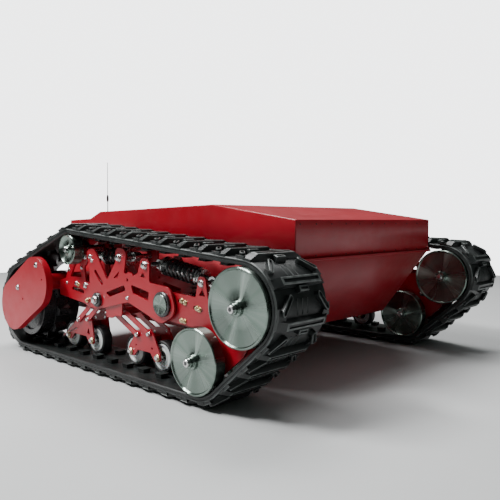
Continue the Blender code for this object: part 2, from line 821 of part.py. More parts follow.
def rear_arm(build, side, tag):
    """The swing arm of the idler, with its two posts and the lug for the rear spring."""
    pivot_x, pivot_z = REAR_PIVOT
    eye_x, eye_z = REAR_SPRING_EYE
    idler_x, idler_z = IDLER[:2]
    outline = rounded(
        [
            (pivot_x + 0.018, pivot_z + 0.012, 0.012),
            (pivot_x - 0.006, pivot_z + 0.024, 0.010),
            (-0.110, 0.178, 0.003),
            (-0.116, 0.208, 0.003),
            (eye_x + 0.010, eye_z - 0.010, 0.006),
            (eye_x + 0.010, eye_z + 0.010, 0.006),
            (idler_x + 0.012, idler_z + 0.018, 0.010),
            (idler_x - 0.018, idler_z + 0.014, 0.010),
            (-0.190, 0.180, 0.004),
            (-0.216, 0.174, 0.004),
            (-0.216, 0.142, 0.004),
            (-0.100, 0.131, 0.0),
            (pivot_x - 0.010, pivot_z - 0.020, 0.010),
            (pivot_x + 0.018, pivot_z - 0.014, 0.012),
        ]
    )
    bores = [
        circle(pivot_x, pivot_z, REAR_PIVOT_RADIUS + RUNNING_GAP, 12),
        circle(idler_x, idler_z, 0.008 + RUNNING_GAP, 12),
        [(-0.172, 0.184), (-0.126, 0.186), (-0.136, 0.222), (-0.146, 0.222)],
        slot((-0.160, 0.160), (-0.122, 0.156), 0.0040, 2),
        circle(*link_pivots(REAR_BOGIE)[1], LINK_PIN + PIN_SWEEP, 8),
    ]
    tubes = [(-0.200, 0.158, 0.006), (eye_x, eye_z, 0.004), (-0.112, 0.170, 0.005)]
    arm = twin_plates(build, f"{tag}_rear_arm", [outline, *bores], ARM_PLATE, REAR_PIVOT, side, tubes)
    finish(arm, build.red)


# --- shock absorbers ----------------------------------------------------------------------------------


def along(start, end, metres):
    """The point some metres from start towards end."""
    share = metres / math.dist(start, end)
    return (start[0] + (end[0] - start[0]) * share, start[1] + (end[1] - start[1]) * share)


def shock(build, side, tag, place, horn, eye, spring_length, turns):
    """An oil damper inside a coil spring: its body turns on the horn's pin, its rod ends at the arm's pin."""
    y = side * HALF_GAUGE
    length = math.dist(horn, eye)
    spring_end = SPRING_START + spring_length

    def bar(label, start, end, radius, count=10):
        return build.bar(f"shock_{label}", along(horn, eye, start), along(horn, eye, end), radius, y, count)

    def bush(label, centre, radius, half):
        return build.rod(label, *centre, radius, HALF_GAUGE - half, HALF_GAUGE + half, side)

    body = bush(f"{tag}_{place}_shock_body", horn, SHOCK_PIN + 0.0045, SHOCK_EYE_HALF_WIDTH)
    stem = bar("stem", 0.007, SPRING_START - 0.001, SHOCK_NECK_RADIUS)
    seat = bar("seat", SPRING_START - 0.006, SPRING_START - 0.001, SEAT_RADIUS, 14)
    barrel = bar("barrel", SPRING_START - 0.003, length * 0.56, BARREL_RADIUS)
    build.join(body, stem, seat, barrel)
    rod_bore = bar("rod_bore", SPRING_START + 0.010, length, SHOCK_ROD_RADIUS + RUNNING_GAP)
    build.cut(body, rod_bore, bush("shock_pin_bore", horn, SHOCK_PIN + RUNNING_GAP, 0.02))
    finish(body, build.steel)

    rod = bush(f"{tag}_{place}_shock_rod", eye, 0.010, SHOCK_EYE_HALF_WIDTH - 0.001)
    shaft = bar("shaft", length * 0.42, length - 0.007, SHOCK_ROD_RADIUS)
    cup = bar("cup", spring_end + 0.001, spring_end + 0.006, SEAT_RADIUS, 14)
    neck = bar("neck", spring_end + 0.004, length - 0.005, SHOCK_NECK_RADIUS)
    build.join(rod, shaft, cup, neck)
    build.cut(rod, bush("shock_eye_bore", eye, ARM_PIN + OPEN_PIVOT_GAP, 0.02))
    finish(rod, build.steel)
    spring(build, f"{tag}_{place}_spring", horn, eye, y, spring_length, turns)


def spring(build, name, horn, eye, y, length, turns):
    """The coil, from its seat on the damper's body to its cup on the rod."""
    curve = bpy.data.curves.new(name, "CURVE")
    curve.dimensions = "3D"
    curve.bevel_depth = SPRING_WIRE
    curve.bevel_resolution = 0
    curve.use_fill_caps = True
    steps = 7
    count = turns * steps
    spline = curve.splines.new("POLY")
    spline.points.add(count)
    heading = Vector((eye[0] - horn[0], 0, eye[1] - horn[1])).normalized()
    across = Vector((0, 1, 0))
    upward = heading.cross(across)
    start = SPRING_START + SPRING_WIRE + GAP
    run = length - 2 * SPRING_WIRE - GAP
    for i, point in enumerate(spline.points):
        turn = 2 * math.pi * i / steps
        centre = Vector((horn[0], y, horn[1])) + heading * (start + run * i / count)
        radial = across * math.cos(turn) + upward * math.sin(turn)
        point.co = (*(centre + radial * COIL_RADIUS), 1)
    finish(build.add(name, curve), build.black)


# --- bogies -------------------------------------------------------------------------------------------


def bogie_links(build, side, tag, place, bogie):
    """The two parallel links: each is a pair of bars on a sleeve that turns on the frame's pin."""
    half, middle = LINK_BAR
    run = bogie["run"]
    ends = (HALF_GAUGE - middle - half, HALF_GAUGE + middle + half)
    for label, upper in zip(("first", "second"), link_pivots(bogie)):
        pin = REAR_PIVOT_RADIUS if upper == REAR_PIVOT else LINK_PIN
        eye = max(LINK_EYE, pin + 0.0035)
        lower = (upper[0] + run[0], upper[1] + run[1])
        name = f"{tag}_{place}_bogie_{label}_link"
        outlines = [slot(upper, lower, LINK_HALF_WIDTH, 3), circle(*lower, LINK_PIN + RUNNING_GAP, 8)]
        link = twin_plates(build, name, outlines, LINK_BAR, upper, side, [])
        build.join(link, build.rod(f"{name}_sleeve", *upper, eye, *ends, side))
        through = (ends[0] - 0.01, ends[1] + 0.01)
        build.cut(link, build.rod(f"{name}_bore", *upper, pin + RUNNING_GAP, *through, side))
        finish(link, build.red)


def bogie_bracket(build, side, tag, place, bogie, axles):
    """Two plates joined by the links' lower pins and by the two axles."""
    half, middle = BRACKET_PLATE
    run = bogie["run"]
    pins = [(x + run[0], z + run[1]) for x, z in link_pivots(bogie)]
    (left_pin, left_z), (right_pin, right_z) = sorted(pins)
    left, right = axles
    z = BOGIE_AXLE_Z
    outline = rounded(
        [
            (left - 0.010, z - 0.009, 0.008),
            (left + 0.012, z - 0.009, 0.006),
            (left + 0.024, z + 0.004, 0.004),
            (right - 0.024, z + 0.004, 0.004),
            (right - 0.012, z - 0.009, 0.006),
            (right + 0.010, z - 0.009, 0.008),
            (right + 0.009, z + 0.010, 0.007),
            (right_pin + 0.010, right_z, 0.006),
            (right_pin + 0.002, right_z + 0.009, 0.005),
            (left_pin - 0.002, left_z + 0.009, 0.005),
            (left_pin - 0.010, left_z, 0.006),
            (left - 0.009, z + 0.010, 0.007),
        ]
    )
    name = f"{tag}_{place}_bogie_bracket"
    outer = twin_plates(build, name, [outline], BRACKET_PLATE, pins[0], side, [])
    reach = LINK_BAR[1] + LINK_BAR[0] + 0.003
    for i, (x, pin_z) in enumerate(pins):
        for way in (-1, 1):
            ends = (HALF_GAUGE + way * middle, HALF_GAUGE + way * reach)
            build.join(outer, build.rod(f"{name}_stud_{i}", x, pin_z, LINK_PIN, *ends, side, 8))
    reach = middle + half + 0.004
    ends = (HALF_GAUGE - reach, HALF_GAUGE + reach)
    for i, x in enumerate(axles):
        build.join(outer, build.rod(f"{name}_axle_{i}", x, z, BOGIE_AXLE_RADIUS, *ends, side, 8))
    finish(outer, build.dark_red)


def bogie_wheels(build, side, tag, place, axles):
    half = BOGIE_WHEEL_HALF_WIDTH
    bore = BOGIE_AXLE_RADIUS + RUNNING_GAP
    rim = BOGIE_WHEEL_RADIUS
    profile = [
        (bore, half),
        (rim - 0.004, half),
        (rim, half - 0.003),
        (rim, 0.003 - half),
        (rim - 0.004, -half),
        (bore, -half),
    ]
    for label, x in zip(("rear", "front"), axles):
        name = f"{tag}_{place}_bogie_{label}_wheel"
        build.turned(name, profile, x, BOGIE_AXLE_Z, HALF_GAUGE, side, 14, build.tyre, closed=True)


# --- the whole object ---------------------------------------------------------------------------------


def running_gear(build, side, tag):
    track(build, side, tag)
    sprocket(build, side, tag)
    chain_case(build, side, tag)
    dished_wheel(build, f"{tag}_upper_front_wheel", UPPER_WHEEL, side)
    dished_wheel(build, f"{tag}_lower_front_wheel", LOWER_WHEEL, side)
    idler(build, side, tag)
    side_plate_outer(build, side, tag)
    side_frame_inner(build, side, tag)
    front_arm(build, side, tag)
    rear_arm(build, side, tag)
    shock(build, side, tag, "front", FRONT_HORN, FRONT_SPRING_EYE, 0.088, 7)
    shock(build, side, tag, "rear", REAR_HORN, REAR_SPRING_EYE, 0.068, 5)
    for place, bogie, axles in (
        ("rear", REAR_BOGIE, REAR_BOGIE_AXLES),
        ("front", FRONT_BOGIE, FRONT_BOGIE_AXLES),
    ):
        bogie_links(build, side, tag, place, bogie)
        bogie_bracket(build, side, tag, place, bogie, axles)
        bogie_wheels(build, side, tag, place, axles)


def main():
    clear_scene()
    build = Builder()
    hull_tub(build)
    top_cover(build)
    antenna(build)
    battery(build)
    controller(build)
    for side, tag in ((-1, "right"), (1, "left")):
        drive_motor(build, side, tag)
        running_gear(build, side, tag)
    bpy.context.view_layer.update()


main()
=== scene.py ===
"""The looks of the tracked tank chassis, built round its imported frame.

Metres, +X forward, +Z up. "Out" is the distance from the chassis's middle plane, the same on both sides,
and "side" is -1 for the right side (at -Y) and +1 for the left. Pivots, wheels and sizes come from the frame.
"""

import itertools
import json
import math

import bmesh
import bpy
from mathutils import Matrix, Vector


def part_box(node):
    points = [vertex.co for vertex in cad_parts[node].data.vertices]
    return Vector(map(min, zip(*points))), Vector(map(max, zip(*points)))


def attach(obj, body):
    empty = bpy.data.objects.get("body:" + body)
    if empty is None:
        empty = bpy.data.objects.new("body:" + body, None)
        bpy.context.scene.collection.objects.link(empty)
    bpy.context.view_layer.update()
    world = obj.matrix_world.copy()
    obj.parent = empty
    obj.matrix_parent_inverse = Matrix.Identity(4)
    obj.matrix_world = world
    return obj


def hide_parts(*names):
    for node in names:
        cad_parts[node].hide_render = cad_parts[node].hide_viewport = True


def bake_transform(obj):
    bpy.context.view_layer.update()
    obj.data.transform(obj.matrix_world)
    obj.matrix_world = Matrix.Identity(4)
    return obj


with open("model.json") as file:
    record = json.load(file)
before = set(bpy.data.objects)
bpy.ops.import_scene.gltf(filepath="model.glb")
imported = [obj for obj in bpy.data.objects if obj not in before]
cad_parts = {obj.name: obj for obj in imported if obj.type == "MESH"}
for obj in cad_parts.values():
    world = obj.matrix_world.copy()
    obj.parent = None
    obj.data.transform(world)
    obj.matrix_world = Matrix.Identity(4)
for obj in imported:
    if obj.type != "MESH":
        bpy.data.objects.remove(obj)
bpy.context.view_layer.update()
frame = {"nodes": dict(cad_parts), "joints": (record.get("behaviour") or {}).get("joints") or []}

JOINTS = {joint["name"]: joint for joint in frame["joints"]}
SIDES = ((-1, "right"), (1, "left"))
UP = Vector((0, 0, 1))
FINE_EDGE = 0.0005  # rounding of a cut plate's edges
SHARP_ANGLE = math.radians(32)
NOISE_ROUGHNESS = 0.55
NOISE_RANGE = (0.3, 0.7)

# --- what the frame says --------------------------------------------------------------------------------


def pivot(joint):
    """A joint's place (x, z)."""
    x, _, z = JOINTS[joint]["pos_m"]
    return (x, z)


def radius_of(node):
    low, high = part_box(node)
    return (high.z - low.z) / 2


HALF_GAUGE = abs(JOINTS["left_sprocket_spin"]["pos_m"][1])
TRACK_LOW, TRACK_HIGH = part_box("left_track")
TRACK_HALF = (TRACK_HIGH.y - TRACK_LOW.y) / 2
SPROCKET = pivot("left_sprocket_spin")
LOWER_WHEEL = pivot("left_lower_front_wheel_spin")
UPPER_WHEEL = pivot("left_upper_front_wheel_spin")
IDLER = pivot("left_idler_wheel_spin")
FRONT_PIVOT = pivot("left_front_arm_swing")
REAR_PIVOT = pivot("left_rear_arm_swing")
FRONT_HORN = pivot("left_front_shock_swing")
REAR_HORN = pivot("left_rear_shock_swing")
TRACK_CLEARANCE = 0.0013  # wheel rim to the band
SPROCKET_RADIUS = radius_of("left_drive_sprocket") + TRACK_CLEARANCE
UPPER_RADIUS = radius_of("left_upper_front_wheel") + TRACK_CLEARANCE
LOWER_RADIUS = radius_of("left_lower_front_wheel") + TRACK_CLEARANCE
IDLER_RADIUS = radius_of("left_idler_wheel") + TRACK_CLEARANCE
BORE = 0.0066  # half the hole for the screw in a dished wheel's middle
DISC = 0.022  # a dished wheel's disc, rim to rim
WHEEL_FACE = 0.0666  # track middle to a dished wheel's rim plane
FRONT_EYE = (0.246, 0.203)  # the front spring's pin on the front arm
REAR_EYE = (-0.112, 0.230)  # the rear spring's pin on the rear arm
MOTOR_AXIS = (-0.245, 0.168)
COVER_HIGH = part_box("top_cover")[1]
TUB_LOW, TUB_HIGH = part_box("hull_tub")

# --- materials ------------------------------------------------------------------------------------------


class Shader:
    """A Principled material with a few helpers for its procedural nodes."""

    def __init__(self, name, colour, roughness, metallic=0.0):
        self.material = bpy.data.materials.new(name)
        self.material.use_nodes = True
        self.tree = self.material.node_tree
        self.bsdf = self.tree.nodes["Principled BSDF"]
        self.set(**{"Base Color": (*colour, 1.0), "Roughness": roughness, "Metallic": metallic})
        self.coords = self.node("ShaderNodeTexCoord").outputs["Object"]

    def set(self, **values):
        for socket, value in values.items():
            self.bsdf.inputs[socket.replace("_", " ")].default_value = value

    def node(self, kind, **settings):
        made = self.tree.nodes.new(kind)
        for key, value in settings.items():
            setattr(made, key, value)
        return made

    def link(self, source, target):
        self.tree.links.new(source, target)

    def noise(self, scale, detail=3.0, coords=None):
        """Noise from 0 to 1, its scale in features per metre."""
        texture = self.node("ShaderNodeTexNoise")
        for socket, value in (("Scale", scale), ("Detail", detail), ("Roughness", NOISE_ROUGHNESS)):
            texture.inputs[socket].default_value = value
        self.link(coords or self.coords, texture.inputs["Vector"])
        return texture.outputs["Fac"]

    def spread(self, value, low, high):
        """A noise's value mapped from the range it usually keeps to, to another range."""
        made = self.node("ShaderNodeMapRange")
        ends = zip(("From Min", "From Max", "To Min", "To Max"), (*NOISE_RANGE, low, high))
        for socket, number in ends:
            made.inputs[socket].default_value = number
        self.link(value, made.inputs["Value"])
        return made.outputs["Result"]

    def tint(self, factor, first, second):
        """A colour between two, by a factor."""
        made = self.node("ShaderNodeMix", data_type="RGBA")
        colour_inputs = [socket for socket in made.inputs if socket.type == "RGBA"]
        colour_inputs[0].default_value = (*first, 1.0)
        colour_inputs[1].default_value = (*second, 1.0)
        self.link(factor, made.inputs["Factor"])
        return next(socket for socket in made.outputs if socket.type == "RGBA")

    def colour(self, source):
        self.link(source, self.bsdf.inputs["Base Color"])

    def rough(self, source):
        self.link(source, self.bsdf.inputs["Roughness"])

    def bump(self, height, distance, strength=1.0):
        made = self.node("ShaderNodeBump")
        made.inputs["Distance"].default_value = distance
        made.inputs["Strength"].default_value = strength
        self.link(height, made.inputs["Height"])
        self.link(made.outputs["Normal"], self.bsdf.inputs["Normal"])


def finish(name, metallic, tints, gloss, grain, **sockets):
    """A material from three noises: two colours in patches, two roughnesses, and a fine grain as bump.

    Each noise gives its scale and detail first: tints go on with two colours, gloss with two roughnesses,
    and grain with its depth and strength.
    """
    shader = Shader(name, tints[2], gloss[2], metallic)
    shader.set(**sockets)
    shader.colour(shader.tint(shader.spread(shader.noise(*tints[:2]), 0, 1), *tints[2:]))
    shader.rough(shader.spread(shader.noise(*gloss[:2]), *gloss[2:]))
    shader.bump(shader.noise(*grain[:2]), *grain[2:])
    return shader.material


def turned_aluminium():
    """Lathe-turned discs: ring-shaped tool marks spread each reflection into a wedge from the centre."""
    # The dark green-grey base colour is a painted reflection of a dark green room, not the metal's own
    # colour.
    shader = Shader("turned_aluminium", (0.24, 0.29, 0.26), 0.26, 1.0)
    shader.set(Anisotropic=0.92, Anisotropic_Rotation=0.25)
    tangent = shader.node("ShaderNodeTangent", direction_type="RADIAL", axis="Y")
    shader.link(tangent.outputs[0], shader.bsdf.inputs["Tangent"])
    flat = shader.node("ShaderNodeVectorMath", operation="MULTIPLY")
    flat.inputs[1].default_value = (1, 0, 1)
    shader.link(shader.coords, flat.inputs[0])
    length = shader.node("ShaderNodeVectorMath", operation="LENGTH")
    shader.link(flat.outputs[0], length.inputs[0])
    radial = shader.node("ShaderNodeCombineXYZ")
    shader.link(length.outputs["Value"], radial.inputs["X"])
    marks = shader.noise(1500, 3, coords=radial.outputs[0])
    way = shader.node("ShaderNodeVectorMath", operation="NORMALIZE")
    shader.link(flat.outputs[0], way.inputs[0])
    # Noise on the direction round the axis makes wedges: it varies the roughness, and in the colour it paints
    # lighter and darker reflection wedges.
    reflection_wedges = shader.noise(2.6, 4, coords=way.outputs[0])
    shader.rough(shader.spread(reflection_wedges, 0.20, 0.33))
    shader.colour(shader.tint(shader.spread(reflection_wedges, 0, 1), (0.15, 0.20, 0.17), (0.30, 0.35, 0.32)))
    shader.bump(marks, 0.00003, 0.55)
    return shader.material


# Powder coat with slight orange peel and uneven gloss.
RED = finish(
    "red_powder_coat", 0,
    (7, 4, (0.29, 0.003, 0.011), (0.37, 0.005, 0.016)),
    (38, 5, 0.30, 0.44), (620, 2, 0.00008, 0.6),
    Coat_Weight=0.25, Coat_Roughness=0.22, Specular_IOR_Level=0.4,
)
# Moulded rubber, dusty in patches.
RUBBER = finish(
    "track_rubber", 0,
    (26, 6, (0.006, 0.008, 0.008), (0.018, 0.021, 0.020)),
    (60, 4, 0.30, 0.52), (900, 3, 0.00015, 0.5),
    Specular_IOR_Level=0.45,
)
# The tread's edges and rims in a lighter grey: a painted highlight where they catch the light.
EDGE_HIGHLIGHT = finish(
    "track_rubber_worn", 0,
    (70, 5, (0.030, 0.036, 0.034), (0.13, 0.145, 0.14)),
    (120, 3, 0.28, 0.5), (900, 3, 0.0001, 0.5),
)
TYRE = finish(
    "tyre_rubber", 0,
    (90, 5, (0.009, 0.009, 0.010), (0.024, 0.024, 0.025)),
    (150, 3, 0.45, 0.65), (700, 3, 0.0001, 0.6),
)
NYLON = finish(
    "white_nylon", 0,
    (60, 6, (0.52, 0.55, 0.55), (0.70, 0.73, 0.73)),
    (200, 3, 0.35, 0.55), (500, 3, 0.00006, 0.5),
    Subsurface_Weight=0.08, Subsurface_Scale=0.004,
)
ALUMINIUM = turned_aluminium()
# Zinc-plated steel of bolts, collars and rods.
STEEL = finish(
    "bright_steel", 1,
    (220, 4, (0.50, 0.50, 0.50), (0.74, 0.74, 0.73)),
    (300, 3, 0.16, 0.36), (900, 2, 0.00003, 0.4),
)
# Yellow-passivated bolts and nuts.
ZINC = finish(
    "yellow_zinc", 1,
    (200, 4, (0.40, 0.36, 0.25), (0.66, 0.50, 0.28)),
    (300, 3, 0.2, 0.4), (900, 2, 0.00003, 0.4),
)
# Coated springs, collars and screws.
BLACK = finish(
    "black_coated_steel", 0,
    (180, 4, (0.008, 0.008, 0.009), (0.022, 0.022, 0.024)),
    (250, 3, 0.22, 0.42), (800, 2, 0.00004, 0.4),
    Coat_Weight=0.4, Coat_Roughness=0.2,
)
PLASTIC = finish(
    "black_plastic", 0,
    (40, 4, (0.010, 0.010, 0.011), (0.022, 0.022, 0.023)),
    (160, 3, 0.34, 0.5), (1200, 2, 0.00005, 0.6),
)

# --- outlines -------------------------------------------------------------------------------------------


def circle(x, z, radius, count=32):
    turn = 2 * math.pi / count
    return [(x + radius * math.cos(i * turn), z + radius * math.sin(i * turn)) for i in range(count)]


def rounded(corners, steps=6):
    """A closed outline whose corners (x, z, radius) are rounded by arcs."""
    outline = []
    for i, (x, z, radius) in enumerate(corners):
        if radius == 0:
            outline.append((x, z))
            continue
        here = Vector((x, z))
        before = (Vector(corners[i - 1][:2]) - here).normalized()
        after = (Vector(corners[(i + 1) % len(corners)][:2]) - here).normalized()
        half = before.angle(after) / 2
        middle = here + (before + after).normalized() * (radius / math.sin(half))
        start = here + before * (radius / math.tan(half)) - middle
        end = here + after * (radius / math.tan(half)) - middle
        sweep = start.angle_signed(end)
        for step in range(steps + 1):
            turn = -sweep * step / steps
            outline.append(
                (
                    middle.x + start.x * math.cos(turn) - start.y * math.sin(turn),
                    middle.y + start.x * math.sin(turn) + start.y * math.cos(turn),
                )
            )
    return outline


def window(corners, radius=0.002, steps=4):
    return rounded([(x, z, radius) for x, z in corners], steps)


def slot(start, end, half_width, steps=8):
    """A stadium outline from one centre (x, z) to another, anticlockwise."""
    heading = math.atan2(end[1] - start[1], end[0] - start[0])
    outline = []
    for centre, first in ((end, heading - math.pi / 2), (start, heading + math.pi / 2)):
        for step in range(steps + 1):
            turn = first + math.pi * step / steps
            outline.append((centre[0] + half_width * math.cos(turn), centre[1] + half_width * math.sin(turn)))
    return outline


def inset(outline, distance):
    """An anticlockwise outline moved inwards."""
    moved = []
    for i, point in enumerate(outline):
        here = Vector(point)
        back = (here - Vector(outline[i - 1])).normalized()
        on = (Vector(outline[(i + 1) % len(outline)]) - here).normalized()
        bisector = (Vector((-back.y, back.x)) + Vector((-on.y, on.x))).normalized()
        reach = distance / bisector.dot(Vector((-back.y, back.x)))
        moved.append((point[0] + bisector.x * reach, point[1] + bisector.y * reach))
    return moved


# --- meshes ---------------------------------------------------------------------------------------------


class Form:
    """One piece's mesh, gathered from turned and raised shapes. Each shape takes one of its materials."""

    def __init__(self):
        self.mesh = bmesh.new()

    def ring(self, points):
        return [self.mesh.verts.new(point) for point in points]

    def bridge(self, first, second, slot=0):
        for i in range(len(first)):
            on = (i + 1) % len(first)
            corners = (first[i], first[on], second[on], second[i])
            self.mesh.faces.new(corners).material_index = slot

    def cap(self, ring, slot=0):
        self.mesh.faces.new(ring).material_index = slot

    def turned(self, profile, origin, axis, steps=32, slot=0, closed=False):
        """A turned shape. Its profile is (radius, height along the axis), and a third value of 6 makes that
        ring a hexagon with the radius as its half width across flats."""
        origin, axis = Vector(origin), Vector(axis).normalized()
        side = axis.orthogonal().normalized() if abs(axis.y) < 0.9 else Vector((1, 0, 0))
        other = axis.cross(side)
        rings = []
        for radius, height, *corners in profile:
            centre = origin + axis * height
            if radius == 0:
                rings.append([self.mesh.verts.new(centre)])
                continue
            points = []
            for step in range(steps):
                turn = 2 * math.pi * step / steps
                reach = radius
                if corners:
                    flat = 2 * math.pi / corners[0]
                    reach = radius / math.cos((turn + flat / 2) % flat - flat / 2)
                points.append(centre + (side * math.cos(turn) + other * math.sin(turn)) * reach)
            rings.append(self.ring(points))
        pairs = list(zip(rings, rings[1:]))
        if closed:
            pairs.append((rings[-1], rings[0]))
        for first, second in pairs:
            if len(first) == 1 or len(second) == 1:
                self.fan(first, second, slot)
            else:
                self.bridge(first, second, slot)
        for end in (rings[0], rings[-1]):
            if len(end) > 1 and not closed:
                self.cap(end, slot)
        return self

    def fan(self, first, second, slot):
        apex, rim = (first[0], second) if len(first) == 1 else (second[0], first)
        for i in range(len(rim)):
            self.mesh.faces.new((apex, rim[i], rim[(i + 1) % len(rim)])).material_index = slot

    def rod(self, start, end, radius, steps=24, edge=0.0006, slot=0):
        """A round bar with broken edges between two points."""
        start, end = Vector(start), Vector(end)
        length = (end - start).length
        profile = [(radius - edge, length), (radius, length - edge), (radius, edge), (radius - edge, 0)]
        return self.turned(profile, start, end - start, steps, slot)

    def tube(self, start, end, radius, bore, steps=32, edge=0.0005, slot=0):
        start, end = Vector(start), Vector(end)
        length = (end - start).length
        profile = [
            (radius - edge, length), (radius, length - edge), (radius, edge), (radius - edge, 0),
            (bore, 0), (bore, length),
        ]
        return self.turned(profile, start, end - start, steps, slot, closed=True)

    def hex_bolt(self, place, axis, half_width, height, slot=0, flange=False):
        """A hexagon head standing on a face, on a washer if it has one, its rounded end along the axis."""
        washer = 0.16 * half_width
        if flange:
            profile = [(half_width * 1.35, washer), (half_width * 1.4, 0)]
            self.turned(profile, place, axis, 24, slot)
        crown = half_width * 0.9
        profile = [
            (0, washer + height), (crown, washer + height), (half_width, washer + height * 0.86, 6),
            (half_width, washer * 0.5, 6),
        ]
        return self.turned(profile, place, axis, 24, slot)

    def socket_bolt(self, place, axis, radius, height, slot, socket_shade_slot):
        """A cap screw with a hexagon socket, which is not cut: a hexagon in the second material, just proud
        of the head, paints the socket's shade.
        """
        wall = radius * 0.86
        key = radius * 0.5
        head = [(key, height, 6), (wall, height), (radius, height - radius * 0.14), (radius, 0)]
        self.turned(head, place, axis, 24, slot)
        # The socket as a flat dark hexagon in place of its recess: painted shade.
        socket = [(0, height * 0.4), (key, height * 0.4, 6), (key, height + 0.00005, 6)]
        return self.turned(socket, place, axis, 24, socket_shade_slot)

    def nut(self, place, axis, half_width, height, thread, stub, slot=0):
        """A nut with the end of its bolt standing out of it."""
        self.hex_bolt(place, axis, half_width, height, slot)
        top = Vector(place) + Vector(axis).normalized() * height
        bolt_end = [(0, stub), (thread * 0.8, stub), (thread, stub * 0.8), (thread, 0)]
        return self.turned(bolt_end, top, axis, 16, slot)

    def box(self, low, high, slot=0):
        verts = self.ring(itertools.product(*zip(low, high)))
        for face in ((0, 1, 3, 2), (4, 6, 7, 5), (0, 4, 5, 1), (2, 3, 7, 6), (0, 2, 6, 4), (1, 5, 7, 3)):
            self.mesh.faces.new([verts[i] for i in face]).material_index = slot
        return self

    def piece(self, name, materials, body=None, replaces=(), origin=None):
        """The finished object, on its body, with its origin at the given point for textures that need it."""
        bmesh.ops.recalc_face_normals(self.mesh, faces=self.mesh.faces)
        mesh = bpy.data.meshes.new(name)
        self.mesh.to_mesh(mesh)
        self.mesh.free()
        if origin is not None:
            mesh.transform(Matrix.Translation(-Vector(origin)))
        obj = placed(name, mesh)
        if origin is not None:
            obj.location = origin
        return dress(obj, materials, body, replaces)


def placed(name, data):
    obj = bpy.data.objects.new(name, data)
    bpy.context.scene.collection.objects.link(obj)
    return obj


def dress(obj, materials, body, replaces=()):
    """Materials, shading and body of a piece; the frame parts it replaces are hidden."""
    for material in materials:
        obj.data.materials.append(material)
    obj.data.shade_smooth()
    obj.data.set_sharp_from_angle(angle=SHARP_ANGLE)
    if body:
        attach(obj, body)
    if replaces:
        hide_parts(*replaces)
    return obj


def beside(side, place, reach=0.0):
    """The point over a place (x, z), that far outboard of a track's middle."""
    return Vector((place[0], side * (HALF_GAUGE + reach), place[1]))


def plate(name, outlines, out_from, out_to, side, material, body, replaces=(), edge=FINE_EDGE):
    """A flat cut plate beside the hull, with finely rounded edges. Outlines after the first are its holes."""
    curve = bpy.data.curves.new(name, "CURVE")
    curve.dimensions = "2D"
    curve.fill_mode = "BOTH"
    curve.extrude = abs(out_to - out_from) / 2
    for outline in outlines:
        spline = curve.splines.new("POLY")
        spline.points.add(len(outline) - 1)
        for point, (x, z) in zip(spline.points, outline):
            point.co = (x, z, 0, 1)
        spline.use_cyclic_u = True
    flat = placed(name, curve)
    bpy.context.view_layer.update()
    mesh = bpy.data.meshes.new_from_object(flat.evaluated_get(bpy.context.evaluated_depsgraph_get()))
    bpy.data.objects.remove(flat, do_unlink=True)
    middle = Vector((0, side * (out_from + out_to) / 2, 0))
    mesh.transform(Matrix.Translation(middle) @ Matrix.Rotation(math.pi / 2, 4, "X"))
    form = bmesh.new()
    form.from_mesh(mesh)
    bmesh.ops.remove_doubles(form, verts=form.verts, dist=1e-6)
    bmesh.ops.dissolve_limit(form, angle_limit=0.01, verts=form.verts, edges=form.edges)
    bmesh.ops.recalc_face_normals(form, faces=form.faces)
    form.to_mesh(mesh)
    form.free()
    mesh.materials.clear()
    obj = placed(name, mesh)
    dress(obj, [material], body, replaces)
    soften(obj, edge)
    return obj


def soften(obj, width, segments=2):
    """Rounded edges on a folded or cut sheet."""
    bevel = obj.modifiers.new("edges", "BEVEL")
    bevel.width = width
    bevel.segments = segments
    bevel.limit_method = "ANGLE"
    bevel.angle_limit = math.radians(40)
    bevel.harden_normals = True


# --- hull -----------------------------------------------------------------------------------------------

SHEET = 0.0025
FOLD = 0.0022  # radius of the hull's folded edges
SEAM_Z = TUB_HIGH.z
HULL_HALF = TUB_HIGH.y
HULL_FRONT = TUB_HIGH.x + 0.003
HULL_REAR = TUB_LOW.x
FRONT_TOE = 0.229
RIDGE = (0.140, COVER_HIGH.z)
ROOF_REAR = (-0.254, 0.325)
DECK_FRONT = (-0.297, 0.308)
FACE_TOP = 0.310
DECK_REAR = 0.304


def folded_sheet(name, outline, open_edge, node):
    """A box of folded sheet from its side view. The outline's edge with that number is left open."""
    form = bmesh.new()
    near = [form.verts.new((x, -HULL_HALF, z)) for x, z in outline]
    far = [form.verts.new((x, HULL_HALF, z)) for x, z in outline]
    form.faces.new(near)
    form.faces.new(far[::-1])
    for i in range(len(outline)):
        on = (i + 1) % len(outline)
        if i != open_edge:
            form.faces.new((near[on], near[i], far[i], far[on]))
    bmesh.ops.recalc_face_normals(form, faces=form.faces)
    mesh = bpy.data.meshes.new(name)
    form.to_mesh(mesh)
    form.free()
    obj = placed(name, mesh)
    # With one side open, the faces' own sum of heights tells which way they point.
    upward = sum(face.normal.z * face.area for face in mesh.polygons)
    if upward * (1 if open_edge else -1) < 0:
        mesh.flip_normals()
    dress(obj, [RED], "chassis", [node])
    soften(obj, FOLD, 4)
    wall = obj.modifiers.new("sheet", "SOLIDIFY")
    wall.thickness = SHEET
    wall.offset = -1


def hull():
    gap = 0.0003
    cover = [
        (HULL_FRONT, SEAM_Z + gap),
        (HULL_FRONT, FACE_TOP),
        RIDGE,
        ROOF_REAR,
        DECK_FRONT,
        (HULL_REAR, DECK_REAR),
        (HULL_REAR, SEAM_Z + gap),
    ]
    folded_sheet("cover_sheet", cover, 6, "top_cover")
    tub = [
        (TUB_HIGH.x, SEAM_Z), (HULL_REAR, SEAM_Z), (HULL_REAR, TUB_LOW.z + 0.030),
        (HULL_REAR + 0.020, TUB_LOW.z), (FRONT_TOE, TUB_LOW.z),
    ]
    folded_sheet("tub_sheet", tub, 0, "hull_tub")
    lip = Form().box(
        (HULL_FRONT - SHEET / 2, -COVER_HIGH.y, SEAM_Z + gap), (COVER_HIGH.x, COVER_HIGH.y, SEAM_Z + 0.0048)
    )
    soften(lip.piece("cover_front_lip", [RED], "chassis"), 0.0008)
    hull_screws()


